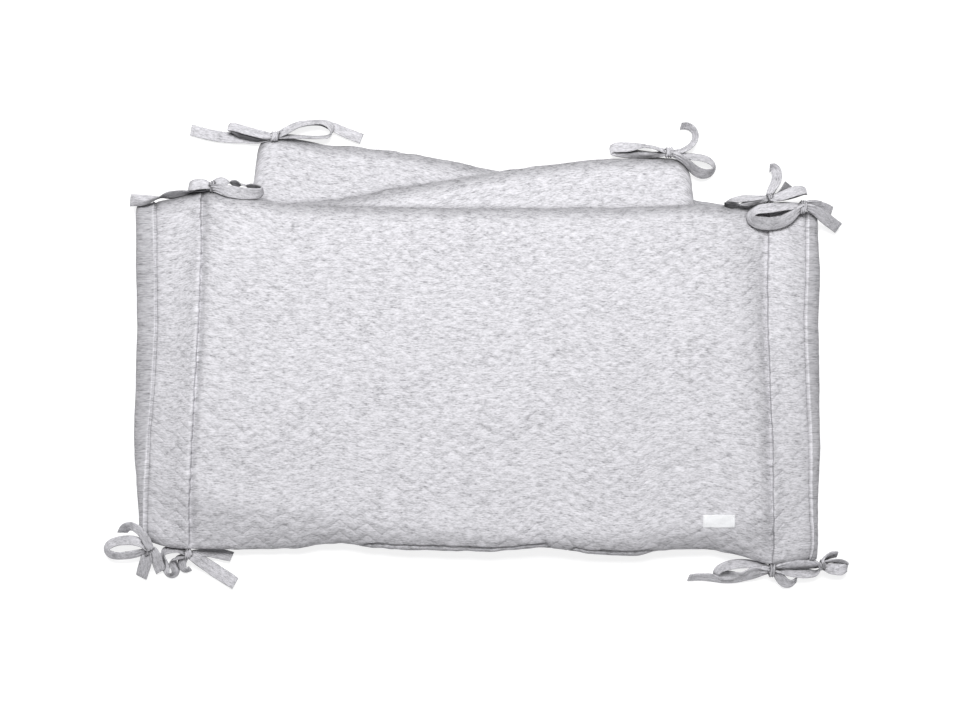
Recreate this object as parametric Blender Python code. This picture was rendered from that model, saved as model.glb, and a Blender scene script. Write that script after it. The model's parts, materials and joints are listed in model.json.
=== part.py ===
"""Crib bumper, folded flat in three layers, with its ties knotted in bows.

One long padded strip (about 1.8 m by 0.35 m) lies folded on a level surface:
the front panel on top, one side panel folded under it at each end, each side
panel turned a few degrees so that its free end shows above the front panel.
Two sewn channels cross the strip at each fold. Flat tape ties sit at the
channels' ends and at the strip's two free ends.

Frame: +X to the right along the front panel, +Y towards the side where the
free ends show, +Z up, the resting surface at z = 0.  Sizes here are in
millimetres and are turned into metres when a mesh is made.
"""

import math

import bmesh
import bpy
from mathutils import Vector
from mathutils.bvhtree import BVHTree

MM = 0.001

# ---------------------------------------------------------------- sizes (mm)
PAD_LOFT = 15.6          # thickness of the pad in the middle of a panel
FOLD_LOFT = 12.6         # thickness between the two channels and round a fold
CHANNEL_LOFT = 4.0       # thickness left at the inner channel's stitching
OUTER_PINCH = 0.50       # share of the loft that the outer channel takes away
LAYER_PITCH = 16.5       # from one layer's middle to the next one's
FLOOR_MIDDLE = 7.5       # height of the middle of a layer lying on the surface
EDGE_POWER = 14.0        # how late the loft falls off towards a sewn edge
HALF_WIDTH = 172.0       # half the strip's width, for the edge's fall-off
PANEL_START = 13.0       # the front panel starts to sag this far past a lower layer
PANEL_DROOP = 54.0       # and takes this far to sag
SIDE_START = 6.0         # the same for the middle layer over the bottom one
SIDE_DROOP = 55.0
CORNER_ROUND = 8.0       # rounding of the strip's free corners

TAPE_THICK = 1.6         # thickness of a tie's tape
MOST_SHEAR = 0.55        # how far from square a tape's section may be to its run
TAPE_LENGTH = 8          # bends in each length of tape as it is joined up
TAPE_OVERLAP = 0.5       # how far one length runs into the one before it
TAPE_RIDGE = 0.08        # and how much it stands out there
PIECE_GAP = 0.3          # clearance between separate pieces
POCKET = 1e-11           # a shell with less volume (m3) than this is no tape

LABEL_SIZE = (32.0, 13.0)
LABEL_THICK = 0.7
LABEL_CENTRE = (239.0, -143.0)

# ------------------------------------------------------- the drawing grid
# Plan positions are given on a millimetre grid, x to the right and y down.
# The grid is a view from straight above, true at GRID_PLANE, so a point that
# lies lower sits a little further out than its grid position says.
GRID_ZERO = (478.0, 377.0)
GRID_EYE = (490.0, 355.5)
GRID_PLANE = 30.0
EYE_HEIGHT = 1936.0


def on_grid(gx, gy, z):
    """World x, y (mm) of a grid point at height z."""
    spread = (EYE_HEIGHT - z) / (EYE_HEIGHT - GRID_PLANE)
    return (GRID_EYE[0] - GRID_ZERO[0] + (gx - GRID_EYE[0]) * spread,
            GRID_ZERO[1] - GRID_EYE[1] + (GRID_EYE[1] - gy) * spread)


# Front panel's sewn edges: grid x, grid y.
FRONT_TOP = (
    (134, 209), (150, 204), (180, 197), (202, 190), (225, 196), (262, 200),
    (300, 206), (400, 209), (500, 210), (600, 209), (690, 206.5), (720, 208),
    (745, 207), (769, 203), (800, 210), (812, 213), (822, 222),
)
FRONT_BOTTOM = (
    (134, 533), (155, 543), (180, 548.5), (240, 550), (290, 548), (340, 544),
    (380, 549), (490, 551), (540, 549), (600, 555), (635, 557), (662, 550.5),
    (700, 550), (740, 556), (773, 563.5), (797, 559), (812, 557.5), (822, 545),
)
# Channels and folds across the strip: grid y, then the grid x of each line.
#  y    left outer, left outer channel, left inner channel, and the same right
CROSS_LINES = (
    (200, 137.0, 152.6, 201.8, 769.0, 809.3, 816.4),
    (257, 136.0, 154.2, 200.6, 768.3, 808.3, 819.1),
    (317, 137.4, 154.7, 198.7, 767.3, 806.9, 819.0),
    (377, 136.3, 152.0, 196.0, 770.3, 808.7, 819.4),
    (437, 134.7, 147.8, 192.5, 772.1, 811.5, 820.5),
    (497, 137.7, 145.2, 190.2, 772.5, 812.0, 819.0),
    (550, 140.5, 143.5, 188.3, 773.6, 813.3, 817.5),
)
# Side panels, from the fold to the free end: x, y of the lower edge and of the
# upper edge in the frame (mm).
MIDDLE_LAYER = (
    (-323, -166, -325, 169), (-235, -168, -240, 171), (-130, -168, -149, 175),
    (-45, -160, -62, 190), (50, -146, 22, 205), (155, -134, 118, 217.5),
    (262, -122, 213.5, 220.5),
)
BOTTOM_LAYER = (
    (325, -179, 323, 164), (215, -166, 230, 177), (105, -151, 130, 192),
    (-10, -135, 22, 207), (-95, -124, -60, 223), (-180, -113, -140, 233),
    (-268, -101, -222, 238.5),
)

# ---------------------------------------------------------------- the ties
# One row for each bend of a tape:
#   x, y    the tape's middle on the drawing grid
#   z       its height
#   lean    the plan run, on the grid, from the tape's lower to its upper edge;
#           what is left of its width stands up
#   wide    its width there: gathered in a knot, full elsewhere
TIES = (
    ("tie_end_left", (274.7, 136.0, 13.5), (5.5, 3.4, 3.6), (
        (   # right loop, then the left tail
            (276, 136.5, 13, 0, 5, 7), (283, 133, 13, 2, 7, 9),
            (290, 129.8, 13.2, 3, 8, 11), (297, 126, 13.5, 3, 8, 12.5),
            (305, 124, 13.5, 1, 8, 12.5), (314, 123, 13.5, 0, 8, 12.5),
            (322, 123, 13, -1, 8, 12.5), (328.5, 126.5, 12.3, -2, 8, 12.5),
            (331.5, 131, 11.6, -1, 8, 12.5), (328.5, 135.8, 11, 0, 7, 12.5),
            (321, 136.6, 11, 0, 7, 12.5), (310, 136.2, 11.4, 0, 6, 12.5),
            (299, 135.6, 12, 0, 6, 11), (288, 135.8, 12.8, 0, 5, 9),
            (277, 136, 13, 0, 5, 7), (267, 138.5, 10, 0, 7, 9),
            (257, 139.5, 5, 0, 10, 12), (246, 138, 2.2, 0, 11.5, 12),
            (232, 137.8, 1.6, 0, 11.5, 12), (218, 136.3, 1.5, 0, 11.5, 12),
            (205, 133.8, 1.5, -1, 11.5, 12), (192, 130, 1.5, -1.5, 11.5, 12),
        ), (  # left loop, then the right tail
            (274, 136, 14.5, 0, 5, 7), (266, 135.8, 14, 0, 7, 9),
            (259, 135.2, 13, 0.5, 9, 12), (250, 132.8, 12, 1, 10.5, 12.5),
            (240, 130, 11, 1.5, 10.5, 12.5), (232, 128, 10, 1.5, 11, 12.5),
            (228.3, 129.8, 9, 0, 10.5, 12.5), (232, 133, 8.3, 1, 10.5, 12.5),
            (240, 135.3, 8.5, 1, 10.5, 12.5), (250, 137.6, 9.2, 1, 10.5, 12.5),
            (260, 138.6, 11, 0.5, 8, 10), (270, 136.8, 12.5, 0, 5, 8),
            (279, 133.5, 10, 3, 7, 9), (288, 129, 7.5, 4, 8, 11),
            (296, 125.3, 6, 3, 9, 12), (305, 124.3, 5, 1, 9.5, 12),
            (315, 124.8, 4, 0, 10, 12), (325, 127.3, 3, -2, 10, 12),
            (335, 131, 2, -3, 10.3, 12), (347, 135.2, 1.5, -3.5, 10.3, 12),
            (361.5, 139, 1.5, -3.5, 10.3, 12),
        ))),
    ("tie_end_right", (667.5, 152.5, 18.5), (5.5, 3.8, 4.2), (
        (   # left loop, then the tail that curls up
            (666, 152, 19, 0, 5, 8), (660, 150.8, 17.5, 0, 6, 10),
            (652, 148.2, 14, 0, 6, 12), (642, 146.6, 11.5, 0, 6, 12.5),
            (630, 146, 10, 0, 6, 12.5), (618, 146, 9.5, 0, 6, 12.5),
            (612.3, 147.5, 9, 0, 7, 12.5), (610.8, 149.5, 9, 0, 8, 12.5),
            (613.5, 151.8, 9, 0, 6.5, 12.5), (622, 152.6, 9, 0, 6.5, 12.5),
            (635, 152.8, 10, 0, 6.5, 12.5), (648, 152.2, 13, 0, 6, 12.5),
            (658, 152.4, 17, 0, 5, 10), (668, 152.6, 19, 0, 5, 8),
            (675, 152.6, 18, 1, 6, 8), (681, 151.6, 15.5, 2, 7, 9.5),
            (688, 149, 12, 5, 6.5, 11), (693, 145, 9, 7, 3.5, 12),
            (695.8, 139.2, 7.5, 5.5, 1.5, 12.5), (694.8, 133.8, 7, 5, -0.5, 12.5),
            (691.7, 129.6, 6.8, 5, -2.7, 12.5), (688, 126.6, 6.6, 4, -4.5, 12.5),
            (682, 125.8, 6.5, 3, -5.3, 12.5),
        ), (  # right loop, over the corner of the pad
            (669, 153, 18.5, 0, 5, 8), (677, 154.8, 20, 0, 6.5, 10),
            (687, 158.2, 19, 0, 8.5, 12), (697, 160, 15, 0, 8.5, 12.5),
            (705, 161.5, 12, 0, 8.5, 12.5), (710.5, 164.5, 10.5, 0, 8.5, 12.5),
            (711.8, 168.5, 10, 0, 8, 12.5), (708, 172, 10.5, 0, 8, 12.5),
            (701, 174, 15.5, 0, 8, 12.5), (694.5, 172, 21.5, 0, 8, 12.5),
            (689.3, 167, 25.5, 0, 8, 12), (683, 160.5, 26.5, 0, 7, 10),
            (676, 155.5, 23.5, 0, 6, 8), (670, 153, 20.5, 0, 5, 8),
        ))),
    ("tie_top_left", (212.0, 186.0, 34.0), (3.2, 5.0, 4.6), (
        (   # right loop
            (212.5, 186, 34.5, 1, 6, 8), (217, 183, 35, 2, 8, 10),
            (223, 181.6, 34, 1, 7, 12), (231, 180.8, 32, 0, 4, 12.5),
            (240, 181.5, 31, 0, 3.5, 12.5), (249, 183.5, 30.5, 0, 4, 12.5),
            (257, 186.5, 32.5, 0, 1, 12.5), (261.5, 189.6, 38, 0, -5, 12.5),
            (259.5, 192.6, 44, 0, -9, 12.5), (250, 193, 46.5, 0, -11.8, 12.5),
            (238, 193, 46.5, 0, -11.8, 12.5), (226, 191.5, 47, 0, -10.5, 12),
            (217, 188.8, 42.5, 0, -6, 9), (211, 187, 37.5, 0, -5, 8),
        ), (  # left tail, along the pad's upper edge
            (210.5, 187, 33, -1, 4, 7),
            (204, 187, 29, -1, 5, 9), (196, 188.8, 26, -1, 5.5, 11),
            (187, 191.5, 25.5, -1, 6, 12), (177, 193.6, 25.5, -1, 6, 12),
            (167, 194.6, 25, -1, 6.5, 12), (157, 195.6, 24, -1, 8, 12),
            (147, 197.0, 25.5, -1, 10, 12.5), (138, 199, 24, -1, 12, 12.5),
            (130.5, 200.5, 19, -1, 12.3, 12.5),
        ), (  # left loop
            (211, 186, 36.8, 0, 6, 9), (206, 184.8, 38.8, 0, 9.5, 12),
            (199, 184.6, 40, 0, 10.5, 12.5), (193, 185.2, 39, 0, 10.5, 12.5),
            (189.6, 186.2, 36.5, 0, 9.5, 12.5), (191.5, 186.8, 34, 0, 9, 12.5),
            (198, 186.6, 33.2, 0, 9, 12), (205, 186.4, 32.4, 0, 8, 10),
            (211, 186.2, 32, 0, 6, 9),
        ))),
    ("tie_top_right_inner", (768.5, 198.5, 31.0), (3.8, 3.3, 4.2), (
        (   # left loop, then the tail behind the right loop
            (768, 198.3, 31.5, 0, 5, 8), (760, 197.8, 30.5, 0, 3, 10),
            (752, 197.6, 33.5, 0, 3, 12), (744, 197.2, 37, 0, 3, 12.5),
            (736, 198, 40.5, 0, 3.5, 12.5), (729.5, 198.2, 42.8, 0, 3.5, 12.5),
            (723.8, 201.2, 43.6, 0, 3.5, 12.5), (728, 203.8, 44.8, 0, 4, 12.5),
            (734, 203.4, 45.5, 0, 5, 12.5), (743, 201.6, 43, 0, 5.5, 12.5),
            (752, 200.8, 39, 0, 4.5, 12), (760, 199.8, 34.5, 0, 4, 10),
            (768, 198.8, 31.5, 0, 4, 8), (775, 196, 28, 2, 5, 9),
            (781, 192, 24.5, 3, 6.5, 12), (786, 187.5, 20, 4, 7.5, 12.5),
            (789, 184.5, 16, 5, 7.5, 12.5),
        ), (  # right loop
            (769, 198.5, 33, 1, 5, 8), (775, 197.5, 35.5, 2, 7, 10),
            (782, 195.6, 38, 3, 8, 12), (790, 192.8, 38.5, 3.5, 8.5, 12.5),
            (798, 190.4, 37.5, 3, 9, 12.5), (804.5, 189.8, 34.5, 1, 8.5, 12.5),
            (806, 190.3, 31.5, 0.5, 7.5, 12.5), (802.5, 191, 29.5, 1, 8.5, 12.5),
            (796, 192.3, 29.3, 2.5, 9, 12.5), (788, 194.6, 30.3, 3, 9, 12),
            (778, 197.2, 31.5, 2, 7, 10), (770, 198, 31.5, 2, 5, 8),
        ), (  # the tail that stands up
            (768.6, 197.5, 30.5, 6, 1, 7), (769.6, 194, 29, 7, 2, 8),
            (771.8, 189, 26, 7.5, 2.5, 10),
            (775.2, 183.5, 22.5, 8.5, 3, 12), (777.3, 177.5, 18.5, 9.5, 0.5, 12.5),
            (777, 171.5, 15, 9, -1.5, 12.5), (774.3, 167.6, 12.5, 6, -5, 12.5),
            (770, 167.8, 10.5, 0, -8, 12.5),
        ))),
    ("tie_top_right_outer", (802.0, 206.0, 33.5), (4.2, 5.4, 4.6), (
        (   # big left loop over the panel, then the lower tail
            (801, 206, 35, 0, 6, 9), (794, 205.4, 36.5, 0, 7, 11),
            (786, 205.2, 38, 0, 8, 12.5), (777, 206.2, 39.5, 0, 8.5, 12.5),
            (768, 207, 41, 1, 8.5, 12.5), (760, 208, 42, 3, 8, 12.5),
            (753, 211, 42.5, 7, 4, 12.5), (750.5, 216, 42.5, 8, -2, 12.5),
            (755, 220.5, 42, 5, -9, 12.5), (763, 223.3, 40, 1, -11.5, 12.5),
            (772, 224.3, 38, -1, -12, 12.5), (782, 222.5, 38, -3, -11.5, 12.5),
            (791, 218, 38.5, -4, -10, 12.5), (798, 211.5, 37.5, -3, -7, 10),
            (803, 207.5, 36, -1, -6, 9), (809, 207.5, 34.5, 1, -6.5, 10),
            (815.5, 210.8, 32.5, 4, -7.5, 12), (822.5, 216.5, 27, 6, -8.5, 12.5),
            (829, 222.3, 19, 6.5, -9, 12.5), (834.5, 227, 10, 6.5, -9, 12.5),
        ), (  # upper tail
            (803, 205.5, 33, 0, -6, 9), (811, 203.8, 29, 1, -7.5, 11),
            (818, 204.6, 24, 2, -8.5, 12), (824.5, 207.6, 17, 2.5, -9.3, 12.5),
            (830, 210.8, 9, 2, -9.3, 12.5),
        ))),
    ("tie_bottom_left_outer", (147.5, 549.5, 24.0), (4.6, 4.6, 4.6), (
        (   # left loop
            (146, 548, 26, 0, 6, 9), (141, 543.5, 30, 0, 8, 11),
            (134, 541, 29, 0, 9, 12.5), (125, 540.8, 24, 0, 9, 12.5),
            (116, 542.3, 17, 3, 8.5, 12.5), (109.5, 545.5, 15.5, 7, 6, 12.5),
            (107.3, 550, 15, 9, 0, 12.5), (110.5, 554, 15, 5, -7.5, 12.5),
            (117, 555.3, 15.5, 1, -9, 12.5), (126, 554.8, 17, 0, -9.5, 12.5),
            (135, 553.5, 19, -1, -9, 12.5), (142, 551.5, 21, -1, -7, 10),
            (147.5, 550, 23.5, -1, -6, 9),
        ), (  # the tail that curls over the corner
            (147.5, 549.5, 24, 8, 1, 9), (146.5, 543.5, 30, 8.5, -1, 9.5),
            (144.5, 537.5, 35, 8, -4, 10.5), (139, 530.5, 37.5, 5, -8, 12),
            (131, 526, 32, 0, -9.5, 12.5), (125.3, 527.8, 25, -6.5, -6.5, 12.5),
            (122.8, 532.5, 18, -9.3, -1, 12.5),
        ), (  # tail straight down
            (147.8, 551, 23, 7, 2, 9), (147, 557, 20, 11, 4, 12),
            (145.5, 564, 15, 12, 4.5, 12.5), (143.8, 571, 9, 12, 4.5, 12.5),
            (142.8, 577.5, 4, 12, 3, 12.5),
        ), (  # tail to the side
            (148.5, 550, 21, 7, -3, 9), (151.5, 557, 17, 8.5, -5, 11),
            (154, 564, 11, 8.5, -6, 12), (156.3, 571, 6, 8.5, -6, 12),
        ))),
    ("tie_bottom_left_inner", (189.5, 554.5, 19.0), (4.4, 3.8, 4.2), (
        (   # loop on its edge, then the wide tail
            (188, 554.3, 19, -2, 3, 8), (180, 553.2, 18, -1, 4, 10),
            (172, 553.6, 15, 1.5, 3.5, 12), (166.5, 556.6, 12, 3, 2, 12.5),
            (164, 562, 10, 3.5, 0.5, 12.5), (163.8, 569, 9, 3.5, -0.5, 12.5),
            (166.5, 575, 8.5, 3, -2, 12.5), (171.5, 577.5, 8.3, 0, -3, 12.5),
            (176, 575.5, 8.3, -2.5, -2, 12.5), (177, 570.5, 8.6, -3, 0, 12.5),
            (174.8, 565, 10, -3, 1.5, 12.5), (175.2, 560.2, 13, -2, 2, 11),
            (181, 557, 16.5, -2, 3, 9), (188.5, 555.5, 18.5, -3, 4, 8),
            (192, 556.5, 18, -4, 6, 9), (198.5, 560.5, 13.5, -6, 10, 13),
            (207, 566, 8, -7, 11.5, 14), (217, 573, 3.8, -7.3, 11.8, 14.5),
            (227, 579.3, 1.8, -7.3, 11.8, 14.5), (235.7, 584.7, 1.6, -5, 10.5, 14),
        ), (  # short end that curls
            (187.5, 554.5, 18.5, 5, -3, 8), (183.5, 558, 15.5, 9, -2, 11),
            (181.3, 563, 11.5, 10, 0, 12), (182.3, 568, 8.8, 8, -4, 12),
            (186, 570.5, 7.8, 2, -6.5, 12), (190.5, 569, 7.5, -1, -5, 12),
        ), (  # second tail, along the pad's lower edge
            (192, 555, 17, -3, 6, 9), (200, 557.2, 9, -3, 9, 12),
            (210, 557.4, 2.6, -1.5, 10, 12.5), (221, 557, 1.6, -1.5, 10.5, 12.5),
            (232.5, 557.6, 1.6, -2.5, 10, 12.5),
        ))),
    ("tie_bottom_right_inner", (771.0, 570.5, 18.0), (3.6, 5.2, 4.6), (
        (   # left loop, then the curl below
            (770, 568.8, 19, 0, 5, 8), (762, 566.8, 18, 0, 5, 10),
            (752, 565.4, 16, 0, 6, 12), (743, 565.4, 14, 0, 7.5, 12.5),
            (735, 566.5, 12.5, 0, 9, 12.5), (726, 568, 11.3, 1, 9, 12.5),
            (718.5, 570.8, 10.6, 5, 6, 12.5), (716.5, 574.8, 10.2, 7, 0, 12.5),
            (720.5, 578, 10.3, 4, -5, 12.5), (728, 578.6, 11, 1, -5.5, 12.5),
            (737, 576.5, 12.5, -2, -6, 12.5), (744, 573, 14, -4, -7, 12.5),
            (751, 570.3, 16, -3, -8, 12.5), (760, 569.6, 17.8, -1, -8, 11),
            (769, 570.2, 18.8, 0, -6, 8), (775.5, 572.3, 17.5, 4, -4, 8),
            (780, 576, 14.5, 8, -2, 11.5), (783, 580.3, 11, 7.5, -4, 12.5),
            (787, 583.6, 8.5, 5, -6, 12.5), (791.8, 583.8, 7, 1.5, -7, 12.5),
            (797.5, 580.8, 6.6, 0, -4, 12.5),
        ), (  # right loop on its edge, then the left tail
            (772, 569.6, 19, 0, -5, 8), (781, 567.8, 18.5, 0, -5.5, 10),
            (790, 565.6, 17.5, 0, -6, 12.5), (800, 564.4, 15.5, 0, -6, 12.5),
            (809, 564.2, 12.5, 0, -6, 12.5), (815.5, 566, 10, 0, -6, 12.5),
            (818.5, 569.5, 8, 0, -6.5, 12.5), (815.5, 573, 8, 0, -6.5, 12.5),
            (809, 574.6, 10, 0, -6.5, 12.5), (800, 574.3, 12.5, 0, -6.5, 12.5),
            (790, 572.5, 16, 0, -6.5, 12.5), (781, 571, 17.5, 0, -6, 10),
            (772, 571, 18, 0, -6, 8), (764, 573, 15.5, 0, -7, 10),
            (755, 575, 12, 0, -8, 12), (745, 577.3, 8.5, -1, -8, 12.5),
            (735, 579.3, 6.3, -1, -8, 12.5), (724, 579.8, 5.6, 0, -8.5, 12.5),
            (712, 578.2, 5.4, 0.5, -8.5, 12.5), (701, 577.4, 5.2, 1, -8.5, 12.5),
            (690.5, 577.5, 5, 2, -8, 12.5),
        ))),
    ("tie_bottom_right_outer", (823.5, 563.5, 24.0), (3.2, 4.2, 4.6), (
        (   # loop to the right
            (824, 562.6, 24.5, 0, -5, 8), (829, 561.5, 22.5, 0, -3.5, 11),
            (837, 561.2, 20, 0, -3.5, 12.5), (844, 563.3, 18, 1, -4.5, 12.5),
            (846.8, 567.8, 16.5, 0, -8, 12.5), (842, 571.5, 16, 0, -10, 12.5),
            (834, 571.8, 18, 0, -10.5, 12.5), (828.5, 569.6, 21, 0, -8.5, 11),
            (824, 565.8, 23.6, 0, -5.5, 8),
        ), (  # upper tail
            (823.5, 562, 25, 1, -5, 8), (827, 557.8, 22, 1, -6, 11),
            (832, 555.3, 18, 0.5, -6.5, 12.5), (837.5, 554.3, 14.5, 0, -6.5, 12.5),
        ))),
)


# ------------------------------------------------------------ plain helpers
def table_at(table, key, x, column):
    """Smooth value of one column of a table at x, x being the key column."""
    keys = [row[key] for row in table]
    values = [row[column] for row in table]
    if keys[0] > keys[-1]:
        keys.reverse()
        values.reverse()
    x = min(max(x, keys[0]), keys[-1])
    i = 0
    while i < len(keys) - 2 and x > keys[i + 1]:
        i += 1

    def slope(j):
        if j == 0:
            return (values[1] - values[0]) / (keys[1] - keys[0])
        if j == len(keys) - 1:
            return (values[-1] - values[-2]) / (keys[-1] - keys[-2])
        before = (values[j] - values[j - 1]) / (keys[j] - keys[j - 1])
        after = (values[j + 1] - values[j]) / (keys[j + 1] - keys[j])
        return 0.0 if before * after <= 0 else 2 * before * after / (before + after)

    span = keys[i + 1] - keys[i]
    u = (x - keys[i]) / span
    return ((2 * u**3 - 3 * u**2 + 1) * values[i] + (u**3 - 2 * u**2 + u) * span * slope(i)
            + (3 * u**2 - 2 * u**3) * values[i + 1] + (u**3 - u**2) * span * slope(i + 1))


def mix(a, b, u):
    return a + (b - a) * u


def fall(distance, start, reach):
    """1 up to `start` past a layer's edge, then falling smoothly to 0."""
    distance -= start
    if distance <= 0:
        return 1.0
    if distance >= reach:
        return 0.0
    return 0.5 * (1 + math.cos(math.pi * distance / reach))


def edge_loft(across):
    """Share of the loft at a place across the strip, -1 to 1 at its edges."""
    return math.sqrt(max(0.0, 1 - abs(across) ** EDGE_POWER))


# Tables moved from the grid into the frame.
TOP_EDGE = tuple(on_grid(x, y, 24) for x, y in FRONT_TOP)
BOTTOM_EDGE = tuple(on_grid(x, y, 24) for x, y in FRONT_BOTTOM)
LINE_HEIGHTS = (15, 28, 26, 26, 28, 15)
LINES = tuple(
    (on_grid(0, row[0], 24)[1],)
    + tuple(on_grid(row[1 + k], row[0], LINE_HEIGHTS[k])[0] for k in range(6))
    for row in CROSS_LINES)
OUTER_L, SEAM2_L, SEAM1_L, SEAM1_R, SEAM2_R, OUTER_R = 1, 2, 3, 4, 5, 6


def line_x(which, y):
    return table_at(LINES, 0, y, which)


def front_y(x, across):
    low = table_at(BOTTOM_EDGE, 0, x, 1)
    high = table_at(TOP_EDGE, 0, x, 1)
    return mix(low, high, (across + 1) / 2)


def side_row(table, u):
    """Lower and upper edge point of a side panel at u, 0 at the fold."""
    n = len(table) - 1
    rows = [(k / n,) + table[k] for k in range(n + 1)]
    return [table_at(rows, 0, u, c) for c in (1, 2, 3, 4)]


def past_panel(table, x, y):
    """Plan distance from a point to a side panel, 0 where it lies on it."""
    low = table_at([(r[0], r[1]) for r in table], 0, x, 1)
    high = table_at([(r[2], r[3]) for r in table], 0, x, 1)
    end = table[-1]
    end_x = mix(end[0], end[2], (y - end[1]) / (end[3] - end[1]))
    beyond = (x - end_x) if end_x > 0 else (end_x - x)
    return math.hypot(max(0.0, beyond), max(0.0, y - high, low - y))


def middle_z(x, y):
    """Height of the middle layer's middle."""
    return FLOOR_MIDDLE + LAYER_PITCH * fall(
        past_panel(BOTTOM_LAYER, x, y), SIDE_START, SIDE_DROOP)


def front_z(x, y):
    """Height of the front panel's middle: it sags where a layer below ends."""
    return FLOOR_MIDDLE + LAYER_PITCH * (
        fall(past_panel(BOTTOM_LAYER, x, y), PANEL_START, PANEL_DROOP)
        + fall(past_panel(MIDDLE_LAYER, x, y), PANEL_START, PANEL_DROOP))


def bell(distance, reach):
    return math.exp(-(distance / reach) ** 2)


# ------------------------------------------------------------ the padded strip
ACROSS = (-0.975, -0.92, -0.8, -0.64, -0.46, -0.22, 0.1, 0.5, 0.8, 0.92, 0.975)
ARC_STEPS = 7


def station(middle, normal, loft):
    """One point pair of the strip: upper and lower surface."""
    return middle + normal * (loft / 2), middle - normal * (loft / 2)


def fold_geometry(side, across):
    """Centre, radius and lines of a fold at a place across the strip."""
    if side > 0:
        table, outer, seam2, seam1 = BOTTOM_LAYER, OUTER_R, SEAM2_R, SEAM1_R
    else:
        table, outer, seam2, seam1 = MIDDLE_LAYER, OUTER_L, SEAM2_L, SEAM1_L
    y = front_y(side * 326.0, across)
    loft = FOLD_LOFT * edge_loft(across)
    top = front_z(side * 326.0, y)
    radius = (top - FLOOR_MIDDLE) / 2
    centre = line_x(outer, y) - side * (radius + loft / 2)
    offset = side * (line_x(seam2, y) - centre)       # outer channel past the centre
    if offset <= 0:
        channel = offset
    else:
        channel = radius * math.asin(min(1.0, offset / (radius + 2.5)))
    return y, loft, radius, centre, channel, line_x(seam1, y), table


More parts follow.
